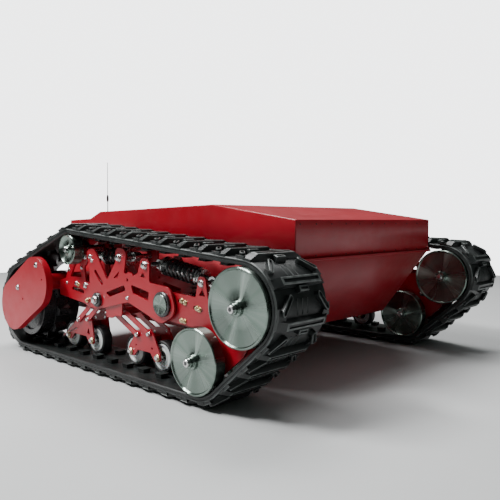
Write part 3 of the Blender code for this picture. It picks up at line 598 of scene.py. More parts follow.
def hull_screws():
    """Small pan-head screws along the cover's front lip, its sides and its rear."""
    form = Form()
    head = [(0, 0.0009), (0.0008, 0.0009), (0.0014, 0.0005), (0.0015, 0)]
    for i in range(11):
        y = (i / 5 - 1) * (HULL_HALF - 0.012)
        for x, way in ((HULL_FRONT, 1), (HULL_REAR, -1)):
            form.turned(head, (x, y, SEAM_Z + 0.009), (way, 0, 0), 12)
        form.turned(head, (HULL_FRONT, y, FACE_TOP - 0.008), (1, 0, 0), 12)
    for i in range(14):
        x = HULL_REAR + 0.014 + i * (HULL_FRONT - HULL_REAR - 0.028) / 13
        for side, _ in SIDES:
            form.turned(head, (x, side * HULL_HALF, SEAM_Z + 0.009), (0, side, 0), 12)
    form.piece("hull_screws", [BLACK], "chassis")


def antenna():
    low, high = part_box("antenna")
    x, y = (low.x + high.x) / 2, (low.y + high.y) / 2
    top, bead, foot = high.z, 0.360, low.z
    form = Form()
    whip = [
        (0, top), (0.0007, top - 0.0004), (0.0009, bead + 0.010), (0.0024, bead + 0.007),
        (0.0028, bead + 0.003), (0.0028, bead - 0.004), (0.0022, bead - 0.007), (0.0011, bead - 0.009),
        (0.0013, foot + 0.012), (0.0030, foot + 0.011), (0.0034, foot + 0.0085),
        (0.0066, foot + 0.0070), (0.0070, foot + 0.0064), (0.0070, foot),
    ]
    form.turned(whip, (x, y, 0), UP, 24)
    form.piece("antenna_whip", [PLASTIC], "chassis", ["antenna"])


def inner_works():
    """The battery, controller and motors inside the hull keep their shape and take their finish."""
    for node, material in (
        ("battery_pack", PLASTIC),
        ("motor_controller", BLACK),
        ("right_drive_motor", STEEL),
        ("left_drive_motor", STEEL),
    ):
        obj = frame["nodes"][node]
        obj.data.materials.clear()
        obj.data.materials.append(material)


# --- track ----------------------------------------------------------------------------------------------

CARCASS = 0.010
PADDLE = 0.011
PITCHES = 37
PHASE = 0.0146  # how far the tread stands along the belt from its first wheel
BAR = 0.014  # a paddle's length along the belt
SUNK = 0.0008  # how far a lug's foot sits inside the band


class Belt:
    """The band's path round its wheels: a distance along it and a height above it give a point (x, z)."""

    def __init__(self, wheels):
        self.pieces = []
        normals = []
        for (x, z, radius), (next_x, next_z, next_radius) in zip(wheels, wheels[1:] + wheels[:1]):
            heading = math.atan2(next_z - z, next_x - x)
            lean = math.asin((next_radius - radius) / math.hypot(next_x - x, next_z - z))
            normals.append(heading - math.pi / 2 - lean)
        for i, (x, z, radius) in enumerate(wheels):
            next_x, next_z, next_radius = wheels[(i + 1) % len(wheels)]
            sweep = (normals[i] - normals[i - 1]) % (2 * math.pi)
            self.pieces.append(("arc", Vector((x, z)), radius, normals[i - 1], radius * sweep))
            out = Vector((math.cos(normals[i]), math.sin(normals[i])))
            start = Vector((x, z)) + out * radius
            end = Vector((next_x, next_z)) + out * next_radius
            self.pieces.append(("line", start, (end - start).normalized(), out, (end - start).length))
        self.length = sum(piece[-1] for piece in self.pieces)
        self.pitch = self.length / PITCHES

    def point(self, distance, height):
        left = distance % self.length
        for piece in self.pieces:
            if left <= piece[-1]:
                break
            left -= piece[-1]
        if piece[0] == "arc":
            _, centre, radius, first, _ = piece
            turn = first + left / radius
            return centre + Vector((math.cos(turn), math.sin(turn))) * (radius + height)
        _, start, heading, out, _ = piece
        return start + heading * left + out * height

    def nearest_pitch(self, x, z):
        """The number of the pitch whose start lies nearest a point (x, z)."""
        place = Vector((x, z))
        return min(range(PITCHES), key=lambda i: (self.point(i * self.pitch + PHASE, 0) - place).length)


BELT = Belt(
    [
        (*SPROCKET, SPROCKET_RADIUS), (*LOWER_WHEEL, LOWER_RADIUS), (*UPPER_WHEEL, UPPER_RADIUS),
        (*IDLER, IDLER_RADIUS),
    ]
)


class TrackForm(Form):
    """A stretch of track. Lugs are given in belt terms: along the belt, across it, and height."""

    def __init__(self, side):
        super().__init__()
        self.side = side

    def place(self, along, across, height):
        x, z = BELT.point(along + PHASE, height)
        return (x, self.side * (HALF_GAUGE + across), z)

    def band(self, first, count):
        """The carcass: its section is swept along the belt, in short steps. Its outer chamfers take the
        painted edge highlight.
        """
        half = TRACK_HALF
        edge = [
            (half - 0.0016, CARCASS), (half, CARCASS - 0.0016), (half, 0.0068), (half - 0.0010, 0.0062),
            (half - 0.0010, 0.0052), (half, 0.0046), (half, 0.0014), (half - 0.0014, 0.0),
        ]
        section = edge + [(-across, height) for across, height in reversed(edge)]
        # The band's two outer chamfers, which take the painted edge highlight.
        highlighted = (0, len(section) - 2)
        steps = 8
        rings = []
        for step in range(count * steps + 1):
            along = (first + step / steps) * BELT.pitch
            rings.append(self.ring([self.place(along, across, height) for across, height in section]))
        for before, after in zip(rings, rings[1:]):
            for i in range(len(section)):
                on = (i + 1) % len(section)
                face = self.mesh.faces.new((before[i], before[on], after[on], after[i]))
                face.material_index = int(i in highlighted)
        self.cap(rings[0])
        self.cap(rings[-1])

    def lug(self, start, outline, base, top, draft=0.0008, edge=0.0009, rim=0.0, sink=0.0):
        """A raised lug on an outline (along, across), its upper edge and any rim in the painted edge
        highlight. A rim leaves its middle sunk.
        """
        levels = [
            (0.0, base - math.copysign(SUNK, top - base), 0),
            (draft, top - math.copysign(edge, top - base), 0),
            (draft + edge, top, 1),
        ]
        if rim:
            levels += [(draft + edge + rim, top, 1), (draft + edge + rim + 0.0008, top - sink, 0)]
        rings = []
        for distance, height, _ in levels:
            shape = inset(outline, distance) if distance else outline
            rings.append(self.ring([self.place(start + along, across, height) for along, across in shape]))
        self.cap(rings[0])
        for (_, _, slot), before, after in zip(levels[1:], rings, rings[1:]):
            self.bridge(before, after, slot)
        self.cap(rings[-1])

    def paddle(self, start):
        """A bar right across the band: its ends slope to the band's edges, a channel runs along its top."""
        half, top = TRACK_HALF, CARCASS + PADDLE
        # The levels marked 1 take the painted edge highlight: the top's chamfer and its flat edge band.
        levels = (
            (0.0000, half - 0.0002, CARCASS - SUNK, 0), (0.0004, half - 0.0004, CARCASS + 0.0030, 0),
            (0.0020, half - 0.0150, top - 0.0008, 0), (0.0027, half - 0.0165, top, 1),
            (0.0048, half - 0.0190, top, 1), (0.0053, half - 0.0200, top - 0.0028, 0),
        )
        rings = []
        for back, reach, height, _ in levels:
            front = BAR - back
            outline = []
            for share in (-1, -0.5, 0, 0.5, 1):
                outline.append((front, share * reach))
            for share in (1, 0.5, 0, -0.5, -1):
                outline.append((back, share * reach))
            rings.append(self.ring([self.place(start + along, across, height) for along, across in outline]))
        self.cap(rings[0])
        for (_, _, _, slot), before, after in zip(levels[1:], rings, rings[1:]):
            self.bridge(before, after, slot)
        self.cap(rings[-1])

    def pitch(self, number):
        """One pitch's tread: the paddle and its tab, two slanted fingers with their heels, low ribs between
        them, and the drive lugs on the band's inner face."""
        start = number * BELT.pitch
        half = TRACK_HALF
        top = CARCASS + PADDLE
        gap = BELT.pitch - BAR
        self.paddle(start)
        tab = [(-0.0080, 0.0115), (-0.0080, -0.0115), (0.0010, -0.0115), (0.0010, 0.0115)]
        self.lug(start, tab, CARCASS, top - 0.0015, draft=0.0010, rim=0.0012, sink=0.0020)
        for way in (-1, 1):
            outer_end = (BAR + gap * 0.22, way * (half - 0.0085))
            inner_end = (BAR + gap * 0.66, way * (half - 0.0255))
            finger = slot(outer_end, inner_end, 0.0048, 5)
            self.lug(start, finger, CARCASS, top - 0.0020, draft=0.0006, edge=0.0007, rim=0.0010, sink=0.0030)
            heel = [(0.0130, half - 0.0010), (0.0130, half - 0.0160), (BAR + gap * 0.26, half - 0.0080)]
            heel.append((BAR + gap * 0.34, half - 0.0010))
            heel = [(along, way * across) for along, across in heel]
            self.lug(start, heel[:: -way], CARCASS, CARCASS + 0.0050, draft=0.0006)
            drive = [(0.018, way * 0.027 - 0.007), (0.032, way * 0.027 - 0.007)]
            drive += [(0.032, way * 0.027 + 0.007), (0.018, way * 0.027 + 0.007)]
            self.lug(start, drive[::-1], 0.0, -0.0085, draft=0.0015)
        for across in (-0.012, 0.0, 0.012):
            rib = [(0.0165, across - 0.0018), (0.0165 + gap * 0.55, across - 0.0018)]
            rib += [(0.0165 + gap * 0.55, across + 0.0018), (0.0165, across + 0.0018)]
            self.lug(start, rib, CARCASS, CARCASS + 0.0012, draft=0.0003, edge=0.0004)


def track(side, tag):
    """The belt in four stretches, split at the pitches nearest the idler's top, the top run's middle, the
    upper wheel's top and the bottom. No stretch is attached to a body, so none bends with an arm.
    """
    top_rear = BELT.nearest_pitch(*BELT_POINTS["idler_top"])
    top_middle = BELT.nearest_pitch(*BELT_POINTS["top_middle"])
    wheel_top = BELT.nearest_pitch(*BELT_POINTS["wheel_top"])
    bottom = BELT.nearest_pitch(*BELT_POINTS["bottom"])
    front, rear, chassis = f"{tag}_front_arm", f"{tag}_rear_arm", "chassis"
    runs = (
        ("track_rear", top_rear, bottom, chassis, rear, (0, 0, 0.215), (0, 0, 0.258)),
        ("track_front", bottom, wheel_top, chassis, front, (0.150, 0, 0), (0.235, 0, 0)),
        ("track_top_front", wheel_top, top_middle, chassis, front, (0.060, 0, 0), (0.300, 0, 0)),
        ("track_top_rear", top_middle, top_rear, chassis, rear, (0.020, 0, 0), (-0.095, 0, 0)),
    )
    for name, first, last, body, arm, start, end in runs:
        form = TrackForm(side)
        count = (last - first) % PITCHES
        form.band(first, count)
        for number in range(first, first + count):
            form.pitch(number)
        replaces = [f"{tag}_track"] if name == "track_rear" else []
        # The second material is the painted edge highlight on the tread's edges.
        piece = form.piece(f"{tag}_{name}", [RUBBER, EDGE_HIGHLIGHT], None, replaces)
        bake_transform(piece)


BELT_POINTS = {
    "idler_top": (IDLER[0] + 0.02, IDLER[1] + IDLER_RADIUS),
    "top_middle": (0.04, 0.26),
    "wheel_top": (UPPER_WHEEL[0], UPPER_WHEEL[1] + UPPER_RADIUS),
    "bottom": (0.0, CARCASS + PADDLE),
}

# --- wheels ---------------------------------------------------------------------------------------------


def cross_axis(side, x, z):
    """A point on the middle plane and the outward direction, for pieces turned about a cross axis."""
    return (x, 0, z), (0, side, 0)


def dished_wheel(side, tag, node, centre, radius):
    """Two dished discs on a shaft: a bevelled rim, a shallow dish with a step, a boss and its screw."""
    rim = radius - TRACK_CLEARANCE
    face = HALF_GAUGE + WHEEL_FACE
    place, axis = cross_axis(side, *centre)
    outer = [
        (BORE, face + 0.0095), (0.0082, face + 0.0095), (0.0088, face + 0.0088),
        (0.0088, face + 0.0040), (0.0092, face + 0.0036), (0.0118, face + 0.0034),
        (0.0124, face + 0.0028), (0.0124, face - 0.0035), (0.0160, face - 0.0052),
        (rim * 0.55, face - 0.0042), (rim - 0.0050, face - 0.0026), (rim - 0.0036, face - 0.0006),
        (rim - 0.0030, face), (rim - 0.0014, face), (rim, face - 0.0014), (rim, face - DISC + 0.001),
        (rim - 0.001, face - DISC), (rim - 0.010, face - DISC), (rim - 0.012, face - DISC + 0.004),
        (0.020, face - 0.012), (0.016, face - DISC), (0.0100, face - DISC - 0.001),
        (BORE, face - DISC - 0.001),
    ]
    form = Form()
    form.turned(outer, place, axis, 96, closed=True)
    mirror = [(reach, 2 * HALF_GAUGE - height) for reach, height in outer[5:]]
    form.turned([(BORE, mirror[0][1]), *mirror], place, axis, 96, closed=True)
    form.piece(f"{node}_discs", [ALUMINIUM], node, [node], beside(side, centre))
    hardware = Form()
    middle = beside(side, centre)
    reach = WHEEL_FACE - DISC + 0.002
    out = Vector(axis)
    hardware.rod(middle - out * (reach + 0.010), middle + out * (reach + 0.010), 0.0098, 32)
    # The screw's socket in black: painted shade.
    hardware.socket_bolt(middle + out * (WHEEL_FACE + 0.0070), axis, 0.0064, 0.0066, 0, 1)
    hardware.hex_bolt(middle - out * WHEEL_FACE, -out, 0.0060, 0.0050)
    hardware.piece(f"{node}_shaft", [STEEL, BLACK], node)


def idler(side, tag):
    node = f"{tag}_idler_wheel"
    rim = IDLER_RADIUS - TRACK_CLEARANCE
    form = Form()
    place, axis = cross_axis(side, *IDLER)
    for way, outer_face in ((1, 0.059), (-1, 0.0575)):
        def at(height):
            return HALF_GAUGE + way * height

        profile = [
            (0.0050, at(outer_face + 0.0005)), (0.0085, at(outer_face + 0.0005)),
            (0.0092, at(outer_face - 0.0025)), (0.0120, at(outer_face - 0.0040)),
            (rim * 0.72, at(outer_face - 0.0034)), (rim - 0.0040, at(outer_face - 0.0014)),
            (rim - 0.0028, at(outer_face)), (rim - 0.0010, at(outer_face)),
            (rim, at(outer_face - 0.0010)), (rim, at(0.0368)), (rim - 0.0008, at(0.036)),
            (0.0050, at(0.036)),
        ]
        form.turned(profile, place, axis, 64, closed=True)
    middle, out = beside(side, IDLER), Vector(axis)
    form.piece(f"{node}_rollers", [ALUMINIUM], node, [node], middle)
    hardware = Form()
    hardware.rod(middle - out * 0.040, middle + out * 0.040, 0.0078, 24)
    hardware.hex_bolt(middle + out * 0.0590, out, 0.0050, 0.0045)
    hardware.hex_bolt(middle - out * 0.0560, -out, 0.0045, 0.0020)
    hardware.piece(f"{node}_shaft", [STEEL], node)


def sprocket(side, tag):
    """Toothed ring between two plain drums, with the shaft from the hull to the chain case."""
    node = f"{tag}_drive_sprocket"
    x, z = SPROCKET
    tip = SPROCKET_RADIUS - TRACK_CLEARANCE
    root = tip - 0.012
    teeth = 11
    shoulder = tip - 0.001
    tooth = [(0.0, root), (0.21, root), (0.42, root)]
    tooth += [(0.55, shoulder), (0.60, tip), (0.82, tip), (0.87, shoulder)]
    outline = []
    for i in range(teeth):
        for share, reach in tooth:
            turn = 2 * math.pi * (i + share) / teeth
            outline.append((x + reach * math.cos(turn), z + reach * math.sin(turn)))
    faces = (HALF_GAUGE - 0.014, HALF_GAUGE + 0.014)
    plate(f"{node}_teeth", [outline, circle(x, z, 0.016)], *faces, side, BLACK, node, [node], 0.0008)
    form = Form()
    middle, out = beside(side, (x, z)), Vector((0, side, 0))
    for way in (-1, 1):
        start = middle + out * way * 0.0145
        profile = [
            (0.012, 0), (root - 0.003, 0), (root - 0.002, 0.001), (root - 0.002, 0.0285),
            (root - 0.003, 0.0295), (root - 0.014, 0.0295), (root - 0.016, 0.024),
            (0.030, 0.022), (0.024, 0.0295), (0.012, 0.0295),
        ]
        form.turned(profile, start, out * way, 64, closed=True)
    low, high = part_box(node)
    shaft_in, shaft_out = (low.y, high.y) if side > 0 else (high.y, low.y)
    form.rod((x, shaft_in, z), (x, shaft_out, z), 0.012, 32)
    form.piece(f"{node}_drum", [BLACK], node)


def chain_case(side, tag):
    """The oblong cover outside the sprocket, its tube round the motor's shaft, two screws and two holes."""
    node = f"{tag}_chain_case"
    low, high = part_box(node)
    outer_face = max(abs(low.y), abs(high.y)) - 0.002
    inner_face = outer_face - 0.015
    radius = 0.057
    ends = [(SPROCKET[0] - 0.007, SPROCKET[1]), MOTOR_AXIS]
    outline = slot(*ends, radius, 32)
    holes = [circle(-0.209, 0.178, 0.0022, 16), circle(-0.296, 0.128, 0.0022, 16)]
    faces = (outer_face - 0.003, outer_face)
    plate(node + "_face", [outline, *holes], *faces, side, RED, "chassis", [node], 0.0012)
    faces = (inner_face, outer_face - 0.0026)
    rim = plate(node + "_rim", [outline, slot(*ends, radius - 0.003, 32)], *faces, side, RED, "chassis")
    rim.modifiers["edges"].width = 0.0004
    form = Form()
    start = (MOTOR_AXIS[0], side * (HULL_HALF + 0.0003), MOTOR_AXIS[1])
    end = (MOTOR_AXIS[0], side * (outer_face - 0.003), MOTOR_AXIS[1])
    form.tube(start, end, 0.018, 0.0106, 48)
    form.piece(node + "_tube", [RED], "chassis")
    bolts = Form()
    for x, z in ((-0.233, 0.208), (-0.320, 0.152)):
        bolts.hex_bolt((x, side * outer_face, z), (0, side, 0), 0.0042, 0.0020, flange=True)
    bolts.piece(node + "_bolts", [STEEL], "chassis")


# --- side frame -----------------------------------------------------------------------------------------

FRAME_OUT = (0.036, 0.040)  # faces of the frame's plates, from the track's middle
ARM_OUT = (0.028, 0.032)
LINK_OUT = (0.022, 0.025)
BRACKET_OUT = (0.018, 0.021)


def bogie_pivots(place):
    """A bogie's two upper pivots and the run (x, z) down to its bracket."""
    first = pivot(f"left_{place}_bogie_swing")
    second = pivot(f"left_{place}_bogie_second_swing")
    lower = pivot(f"left_{place}_bogie_level")
    return first, second, (lower[0] - first[0], lower[1] - first[1])


REAR_SECOND = bogie_pivots("rear")[1]
FRONT_LINKS = bogie_pivots("front")[:2]
HANGER_OUT = (0.0325, 0.0362)

# The M-shaped side plate with its three horns, from its front end round over the top.
FRAME_OUTLINE = rounded(
    [
        (0.191, 0.146, 0.022), (0.174, 0.190, 0.018), (0.115, 0.194, 0.006), (0.116, 0.237, 0.010),
        (0.092, 0.239, 0.008), (0.080, 0.209, 0.004), (0.066, 0.203, 0.004), (0.053, 0.210, 0.006),
        (0.036, 0.202, 0.004), (0.046, 0.251, 0.012), (0.009, 0.255, 0.011), (0.009, 0.226, 0.006),
        (-0.020, 0.189, 0.003), (-0.066, 0.249, 0.008), (-0.092, 0.246, 0.008), (-0.083, 0.200, 0.005),
        (-0.083, 0.162, 0.004), (-0.100, 0.153, 0.007), (-0.098, 0.131, 0.007), (-0.056, 0.127, 0.012),
        (0.050, 0.152, 0.006), (0.150, 0.123, 0.022),
    ]
)

FRAME_WINDOWS = [
    window(((-0.024, 0.164), (0.036, 0.183), (0.043, 0.174), (-0.013, 0.156))),
    window(((0.059, 0.186), (0.114, 0.177), (0.112, 0.161), (0.066, 0.170))),
    slot((-0.061, 0.203), (-0.038, 0.181), 0.0038),
    window(((0.000, 0.193), (0.017, 0.198), (0.023, 0.211)), 0.001, 3),
    window(((0.088, 0.203), (0.103, 0.202), (0.097, 0.212)), 0.001, 3),
    circle(0.048, 0.194, 0.003, 16),
]

# The two ears behind the frame's plate that hold the front bogie's pins.
HANGER_OUTLINE = rounded(
    [
        (0.026, 0.153, 0.001), (-0.030, 0.146, 0.001), (-0.030, 0.114, 0.007), (-0.010, 0.114, 0.007),
        (0.006, 0.121, 0.002), (0.024, 0.120, 0.007),
    ]
)


def side_frame(side, tag):
    outer_node, inner_node = f"{tag}_side_plate_outer", f"{tag}_side_frame_inner"
    low, high = FRAME_OUT
    outlines = [FRAME_OUTLINE, *FRAME_WINDOWS]
    faces = (HALF_GAUGE + low, HALF_GAUGE + high)
    plate(outer_node + "_cut", outlines, *faces, side, RED, "chassis", [outer_node])
    faces = (HALF_GAUGE - high, HALF_GAUGE - low)
    plate(inner_node + "_cut", outlines, *faces, side, RED, "chassis", [inner_node])
    for node, way in ((outer_node, 1), (inner_node, -1)):
        faces = [HALF_GAUGE + way * reach for reach in HANGER_OUT]
        plate(node + "_hanger", [HANGER_OUTLINE], *faces, side, RED, "chassis")
    pins = Form()
    out = Vector((0, side, 0))

    for place, radius in ((FRONT_PIVOT, 0.014), (REAR_PIVOT, 0.008), (FRONT_HORN, 0.005), (REAR_HORN, 0.005)):
        pins.rod(beside(side, place, -low), beside(side, place, low), radius, 32)
    for place in (REAR_SECOND, *FRONT_LINKS):
        pins.rod(beside(side, place, -low), beside(side, place, low), 0.0038, 20)
    pins.nut(beside(side, REAR_SECOND, high), out, 0.0045, 0.0036, 0.0026, 0.0030, 1)
    for place in (FRONT_HORN, REAR_HORN):
        pins.hex_bolt(beside(side, place, high), out, 0.0056, 0.0042, flange=True)
    pins.hex_bolt(beside(side, (-0.080, 0.232), high), out, 0.0036, 0.0024, flange=True)
    for place in ((-0.074, 0.224), (0.048, 0.160)):
        pins.hex_bolt(beside(side, place, high), out, 0.0026, 0.0018, flange=True)
    pins.piece(f"{tag}_frame_pins", [STEEL, ZINC], "chassis")
    beams = Form()
    for place, radius in ((FRONT_PIVOT, 0.020), (REAR_PIVOT, 0.014), ((0.046, 0.178), 0.016)):
        start = (place[0], side * (HULL_HALF + 0.0003), place[1])
        beams.rod(start, beside(side, place, -high), radius, 40, 0.001)
        beams.turned([(radius + 0.008, 0.004), (radius + 0.009, 0.003), (radius + 0.009, 0)], start, out, 40)
    beams.piece(f"{tag}_frame_beams", [RED], "chassis")
    front_cap(side, tag, beside(side, FRONT_PIVOT, high), out)
    rear_cap(side, tag, beside(side, REAR_PIVOT, high), out)


def front_cap(side, tag, place, out):
    """The big pivot cap: a turned disc in a dark ring."""
    form = Form()
    ring = [(0.0182, 0.0050), (0.0212, 0.0050), (0.0224, 0.0038), (0.0226, 0), (0.0182, 0)]
    form.turned(ring, place, out, 64, closed=True)
    form.piece(f"{tag}_pivot_ring", [BLACK], "chassis")
    disc = Form()
    profile = [(0, 0.0063), (0.0150, 0.0063), (0.0162, 0.0068), (0.0174, 0.0068)]
    profile += [(0.0180, 0.0062), (0.0180, 0)]
    disc.turned(profile, place, out, 64)
    disc.piece(f"{tag}_pivot_disc", [ALUMINIUM], "chassis", origin=place)


def rear_cap(side, tag, place, out):
    """The rear pivot's dark collar with its bright bolt standing out of it."""
    form = Form()
    collar = [(0.0075, 0.0062), (0.0128, 0.0062), (0.0142, 0.0050), (0.0145, 0), (0.0075, 0)]
    form.turned(collar, place, out, 48, 1, True)
    form.turned([(0.0066, 0.0080), (0.0074, 0.0072), (0.0074, 0)], place, out, 32)
    form.hex_bolt(place + out * 0.0080, out, 0.0062, 0.0042, flange=True)
    form.piece(f"{tag}_rear_pivot_collar", [STEEL, BLACK], "chassis")


# --- suspension arms ------------------------------------------------------------------------------------


def twin_plates(name, outlines, faces, side, body, node):
    """Two like plates, one each side of the track's middle."""
    low, high = faces
    plate(f"{name}_outer", outlines, HALF_GAUGE + low, HALF_GAUGE + high, side, RED, body, [node])
    plate(f"{name}_inner", outlines, HALF_GAUGE - high, HALF_GAUGE - low, side, RED, body)


def arm_hardware(name, side, body, faces, spacers, bolts):
    """Spacer tubes (x, z, radius) between a pair of plates, and bolts (x, z, half width, yellow) on them."""
    low, high = faces
    out = Vector((0, side, 0))
    form = Form()
    for x, z, radius in spacers:
        middle = beside(side, (x, z))
        form.rod(middle - out * low, middle + out * low, radius, 24, slot=0)
    for x, z, half_width, yellow in bolts:
        middle = beside(side, (x, z))
        for way in (-1, 1):
            face = middle + out * way * high
            form.hex_bolt(face, out * way, half_width, half_width * 0.6, int(yellow), flange=True)
            if yellow and way > 0:
                end = middle + out * (high + half_width * 1.15)
                form.rod(middle + out * high, end, half_width * 0.5, 12, 0.0003, 1)
    form.piece(name, [STEEL, ZINC], body)


def front_arm(side, tag):
    """The swing arm of the two front wheels, with the A-shaped bracket for the front spring."""
    node = f"{tag}_front_arm"
    pivot_x, pivot_z = FRONT_PIVOT
    eye_x, eye_z = FRONT_EYE
    outline = rounded(
        [
            (pivot_x - 0.026, pivot_z + 0.024, 0.020), (pivot_x - 0.026, pivot_z - 0.026, 0.020),
            (0.180, 0.128, 0.0), (0.232, 0.126, 0.006), (0.243, 0.060, 0.014), (0.300, 0.058, 0.010),
            (0.344, 0.094, 0.010), (0.385, 0.160, 0.014), (0.372, 0.200, 0.014), (0.330, 0.186, 0.010),
            (eye_x + 0.017, 0.176, 0.004), (eye_x + 0.010, eye_z + 0.010, 0.006),
            (eye_x - 0.006, eye_z + 0.012, 0.006), (eye_x - 0.014, 0.178, 0.004),
        ]
    )
    holes = [
        circle(pivot_x, pivot_z, 0.0148, 40),
        circle(*UPPER_WHEEL, 0.0105),
        circle(*LOWER_WHEEL, 0.0105),
        slot((0.190, 0.168), (0.208, 0.166), 0.0035),
        slot((0.230, 0.160), (0.248, 0.158), 0.0035),
        window(((eye_x - 0.006, 0.182), (eye_x + 0.010, 0.181), (eye_x + 0.003, 0.194)), 0.001, 3),
    ]
    twin_plates(node, [outline, *holes], ARM_OUT, side, node, node)
    spacers = [(0.300, 0.130, 0.007), (0.205, 0.140, 0.006), (eye_x, eye_z, 0.004)]
    bolts = [
        (0.1965, 0.1690, 0.0036, True), (0.2055, 0.1665, 0.0036, True), (0.2360, 0.1600, 0.0036, True),
        (0.2425, 0.1585, 0.0034, True), (0.1960, 0.1345, 0.0034, True), (0.2045, 0.1340, 0.0034, True),
        (0.3000, 0.1300, 0.0050, False), (eye_x, eye_z, 0.0046, False),
    ]
    arm_hardware(f"{node}_bolts", side, node, ARM_OUT, spacers, bolts)


def rear_arm(side, tag):
    """The swing arm of the idler, with its two posts and the lug for the rear spring."""
    node = f"{tag}_rear_arm"
    pivot_x, pivot_z = REAR_PIVOT
    eye_x, eye_z = REAR_EYE
    idler_x, idler_z = IDLER
    outline = rounded(
        [
            (pivot_x + 0.018, pivot_z + 0.012, 0.012), (pivot_x - 0.006, pivot_z + 0.024, 0.010),
            (-0.110, 0.178, 0.003), (-0.116, 0.208, 0.003), (eye_x + 0.010, eye_z - 0.010, 0.006),
            (eye_x + 0.010, eye_z + 0.010, 0.006), (idler_x + 0.012, idler_z + 0.018, 0.010),
            (idler_x - 0.018, idler_z + 0.014, 0.010), (-0.190, 0.180, 0.004), (-0.216, 0.174, 0.004),
            (-0.216, 0.142, 0.004), (-0.100, 0.131, 0.0), (pivot_x - 0.010, pivot_z - 0.020, 0.010),
            (pivot_x + 0.018, pivot_z - 0.014, 0.012),
        ]
    )
    holes = [
        circle(pivot_x, pivot_z, 0.0085),
        circle(idler_x, idler_z, 0.0085),
        window(((-0.172, 0.184), (-0.126, 0.186), (-0.136, 0.222), (-0.146, 0.222))),
        slot((-0.160, 0.160), (-0.122, 0.156), 0.0042),
        circle(*REAR_SECOND, 0.0075),
    ]
    twin_plates(node, [outline, *holes], ARM_OUT, side, node, node)
    spacers = [(-0.200, 0.158, 0.006), (eye_x, eye_z, 0.004), (-0.112, 0.170, 0.005)]
    bolts = [
        (-0.147, 0.1715, 0.0036, False), (-0.139, 0.1690, 0.0032, True),
        (-0.1120, 0.1700, 0.0046, False), (eye_x, eye_z, 0.0044, False),
        (-0.126, 0.2060, 0.0028, False), (-0.176, 0.1990, 0.0028, False),
        (-0.186, 0.1700, 0.0024, False),
    ]
    arm_hardware(f"{node}_bolts", side, node, ARM_OUT, spacers, bolts)


# --- shock absorbers ------------------------------------------------------------------------------------

SPRING_START = 0.020


def shock(side, tag, place, horn, eye, spring_length, turns):
    """An oil damper in a coil spring: the body with its seat, the rod with its threaded collars, the coil."""
    start = beside(side, horn)
    end = beside(side, eye)
    length = (end - start).length
    axis = (end - start).normalized()
    out = Vector((0, side, 0))
    body_name, rod_name = f"{tag}_{place}_shock_body", f"{tag}_{place}_shock_rod"
    body = Form()
    body.tube(start - out * 0.008, start + out * 0.008, 0.0095, 0.0055)
    barrel = [
        (0.0050, length * 0.56), (0.0098, length * 0.56), (0.0105, length * 0.56 - 0.001),
        (0.0105, SPRING_START - 0.001), (0.0174, SPRING_START - 0.001), (0.0180, SPRING_START - 0.0018),
        (0.0180, SPRING_START - 0.0050), (0.0174, SPRING_START - 0.0058),
        (0.0110, SPRING_START - 0.0062), (0.0065, 0.0105), (0.0065, 0.0070), (0.0050, 0.0070),
    ]
    body.turned(barrel, start, axis, 40, closed=True)
    body.piece(f"{body_name}_turned", [STEEL], body_name, [body_name])
    rod = Form()
    rod.tube(end - out * 0.007, end + out * 0.007, 0.0100, 0.0052)
    cup = SPRING_START + spring_length
    collar = [
        (0, length * 0.42), (0.0040, length * 0.42), (0.0040, cup + 0.0010), (0.0172, cup + 0.0010),
        (0.0180, cup + 0.0018), (0.0180, cup + 0.0055), (0.0150, cup + 0.0062), (0.0150, cup + 0.0072),
        (0.0160, cup + 0.0078), (0.0160, cup + 0.0100), (0.0110, cup + 0.0106),
    ]
    threads = 9
    run = length - 0.009 - (cup + 0.0106)
    for i in range(threads):
        collar.append((0.0066, cup + 0.0106 + run * (i + 0.25) / threads))
        collar.append((0.0058, cup + 0.0106 + run * (i + 0.75) / threads))
    collar.append((0, length - 0.009))
    rod.turned(collar, start, axis, 40)
    rod.piece(f"{rod_name}_turned", [STEEL], rod_name, [rod_name])
    coil(f"{tag}_{place}_spring", start, axis, out, spring_length, turns)


def coil(node, start, axis, out, length, turns):
    """The spring, a coil from its seat on the body to its cup on the rod. It is attached to no body, so it
    does not shorten.
    """
    wire, radius = 0.0024, 0.0150
    upward = axis.cross(out)
    steps = 28
    sides = 10
    form = Form()
    rings = []
    first = SPRING_START + wire
    run = length - 2 * wire
    total = turns * steps
    for i in range(total + 1):
        share = i / total
        turn = 2 * math.pi * i / steps
        radial = out * math.cos(turn) + upward * math.sin(turn)
        centre = start + axis * (first + run * share) + radial * radius
        ring = []
        for k in range(sides):
            angle = 2 * math.pi * k / sides
            ring.append(centre + (radial * math.cos(angle) + axis * math.sin(angle)) * wire)
        rings.append(form.ring(ring))
    for before, after in zip(rings, rings[1:]):
        form.bridge(before, after)
    form.cap(rings[0])
    form.cap(rings[-1])
    piece = form.piece(f"{node}_coil", [BLACK], None, [node])
    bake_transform(piece)


# --- bogies ---------------------------------------------------------------------------------------------


def bogie(side, tag, place):
    first, second, run = bogie_pivots(place)
    low, high = LINK_OUT
    out = Vector((0, side, 0))
    for label, upper in (("first", first), ("second", second)):
        node = f"{tag}_{place}_bogie_{label}_link"
        pin = 0.008 if upper == REAR_PIVOT else 0.0038
        eye = max(0.0075, pin + 0.0035)
        lower = (upper[0] + run[0], upper[1] + run[1])
        outlines = [slot(upper, lower, 0.0052, 12), circle(*lower, 0.0043, 20)]
        twin_plates(node, outlines, LINK_OUT, side, node, node)
        sleeve = Form()
        middle = beside(side, upper)
        sleeve.tube(middle - out * high, middle + out * high, eye, pin + 0.0005, 32)
        sleeve.piece(f"{node}_sleeve", [RED], node)
    bogie_bracket(side, tag, place, [first, second], run)
    for label in ("rear", "front"):
        bogie_wheel(side, f"{tag}_{place}_bogie_{label}_wheel")


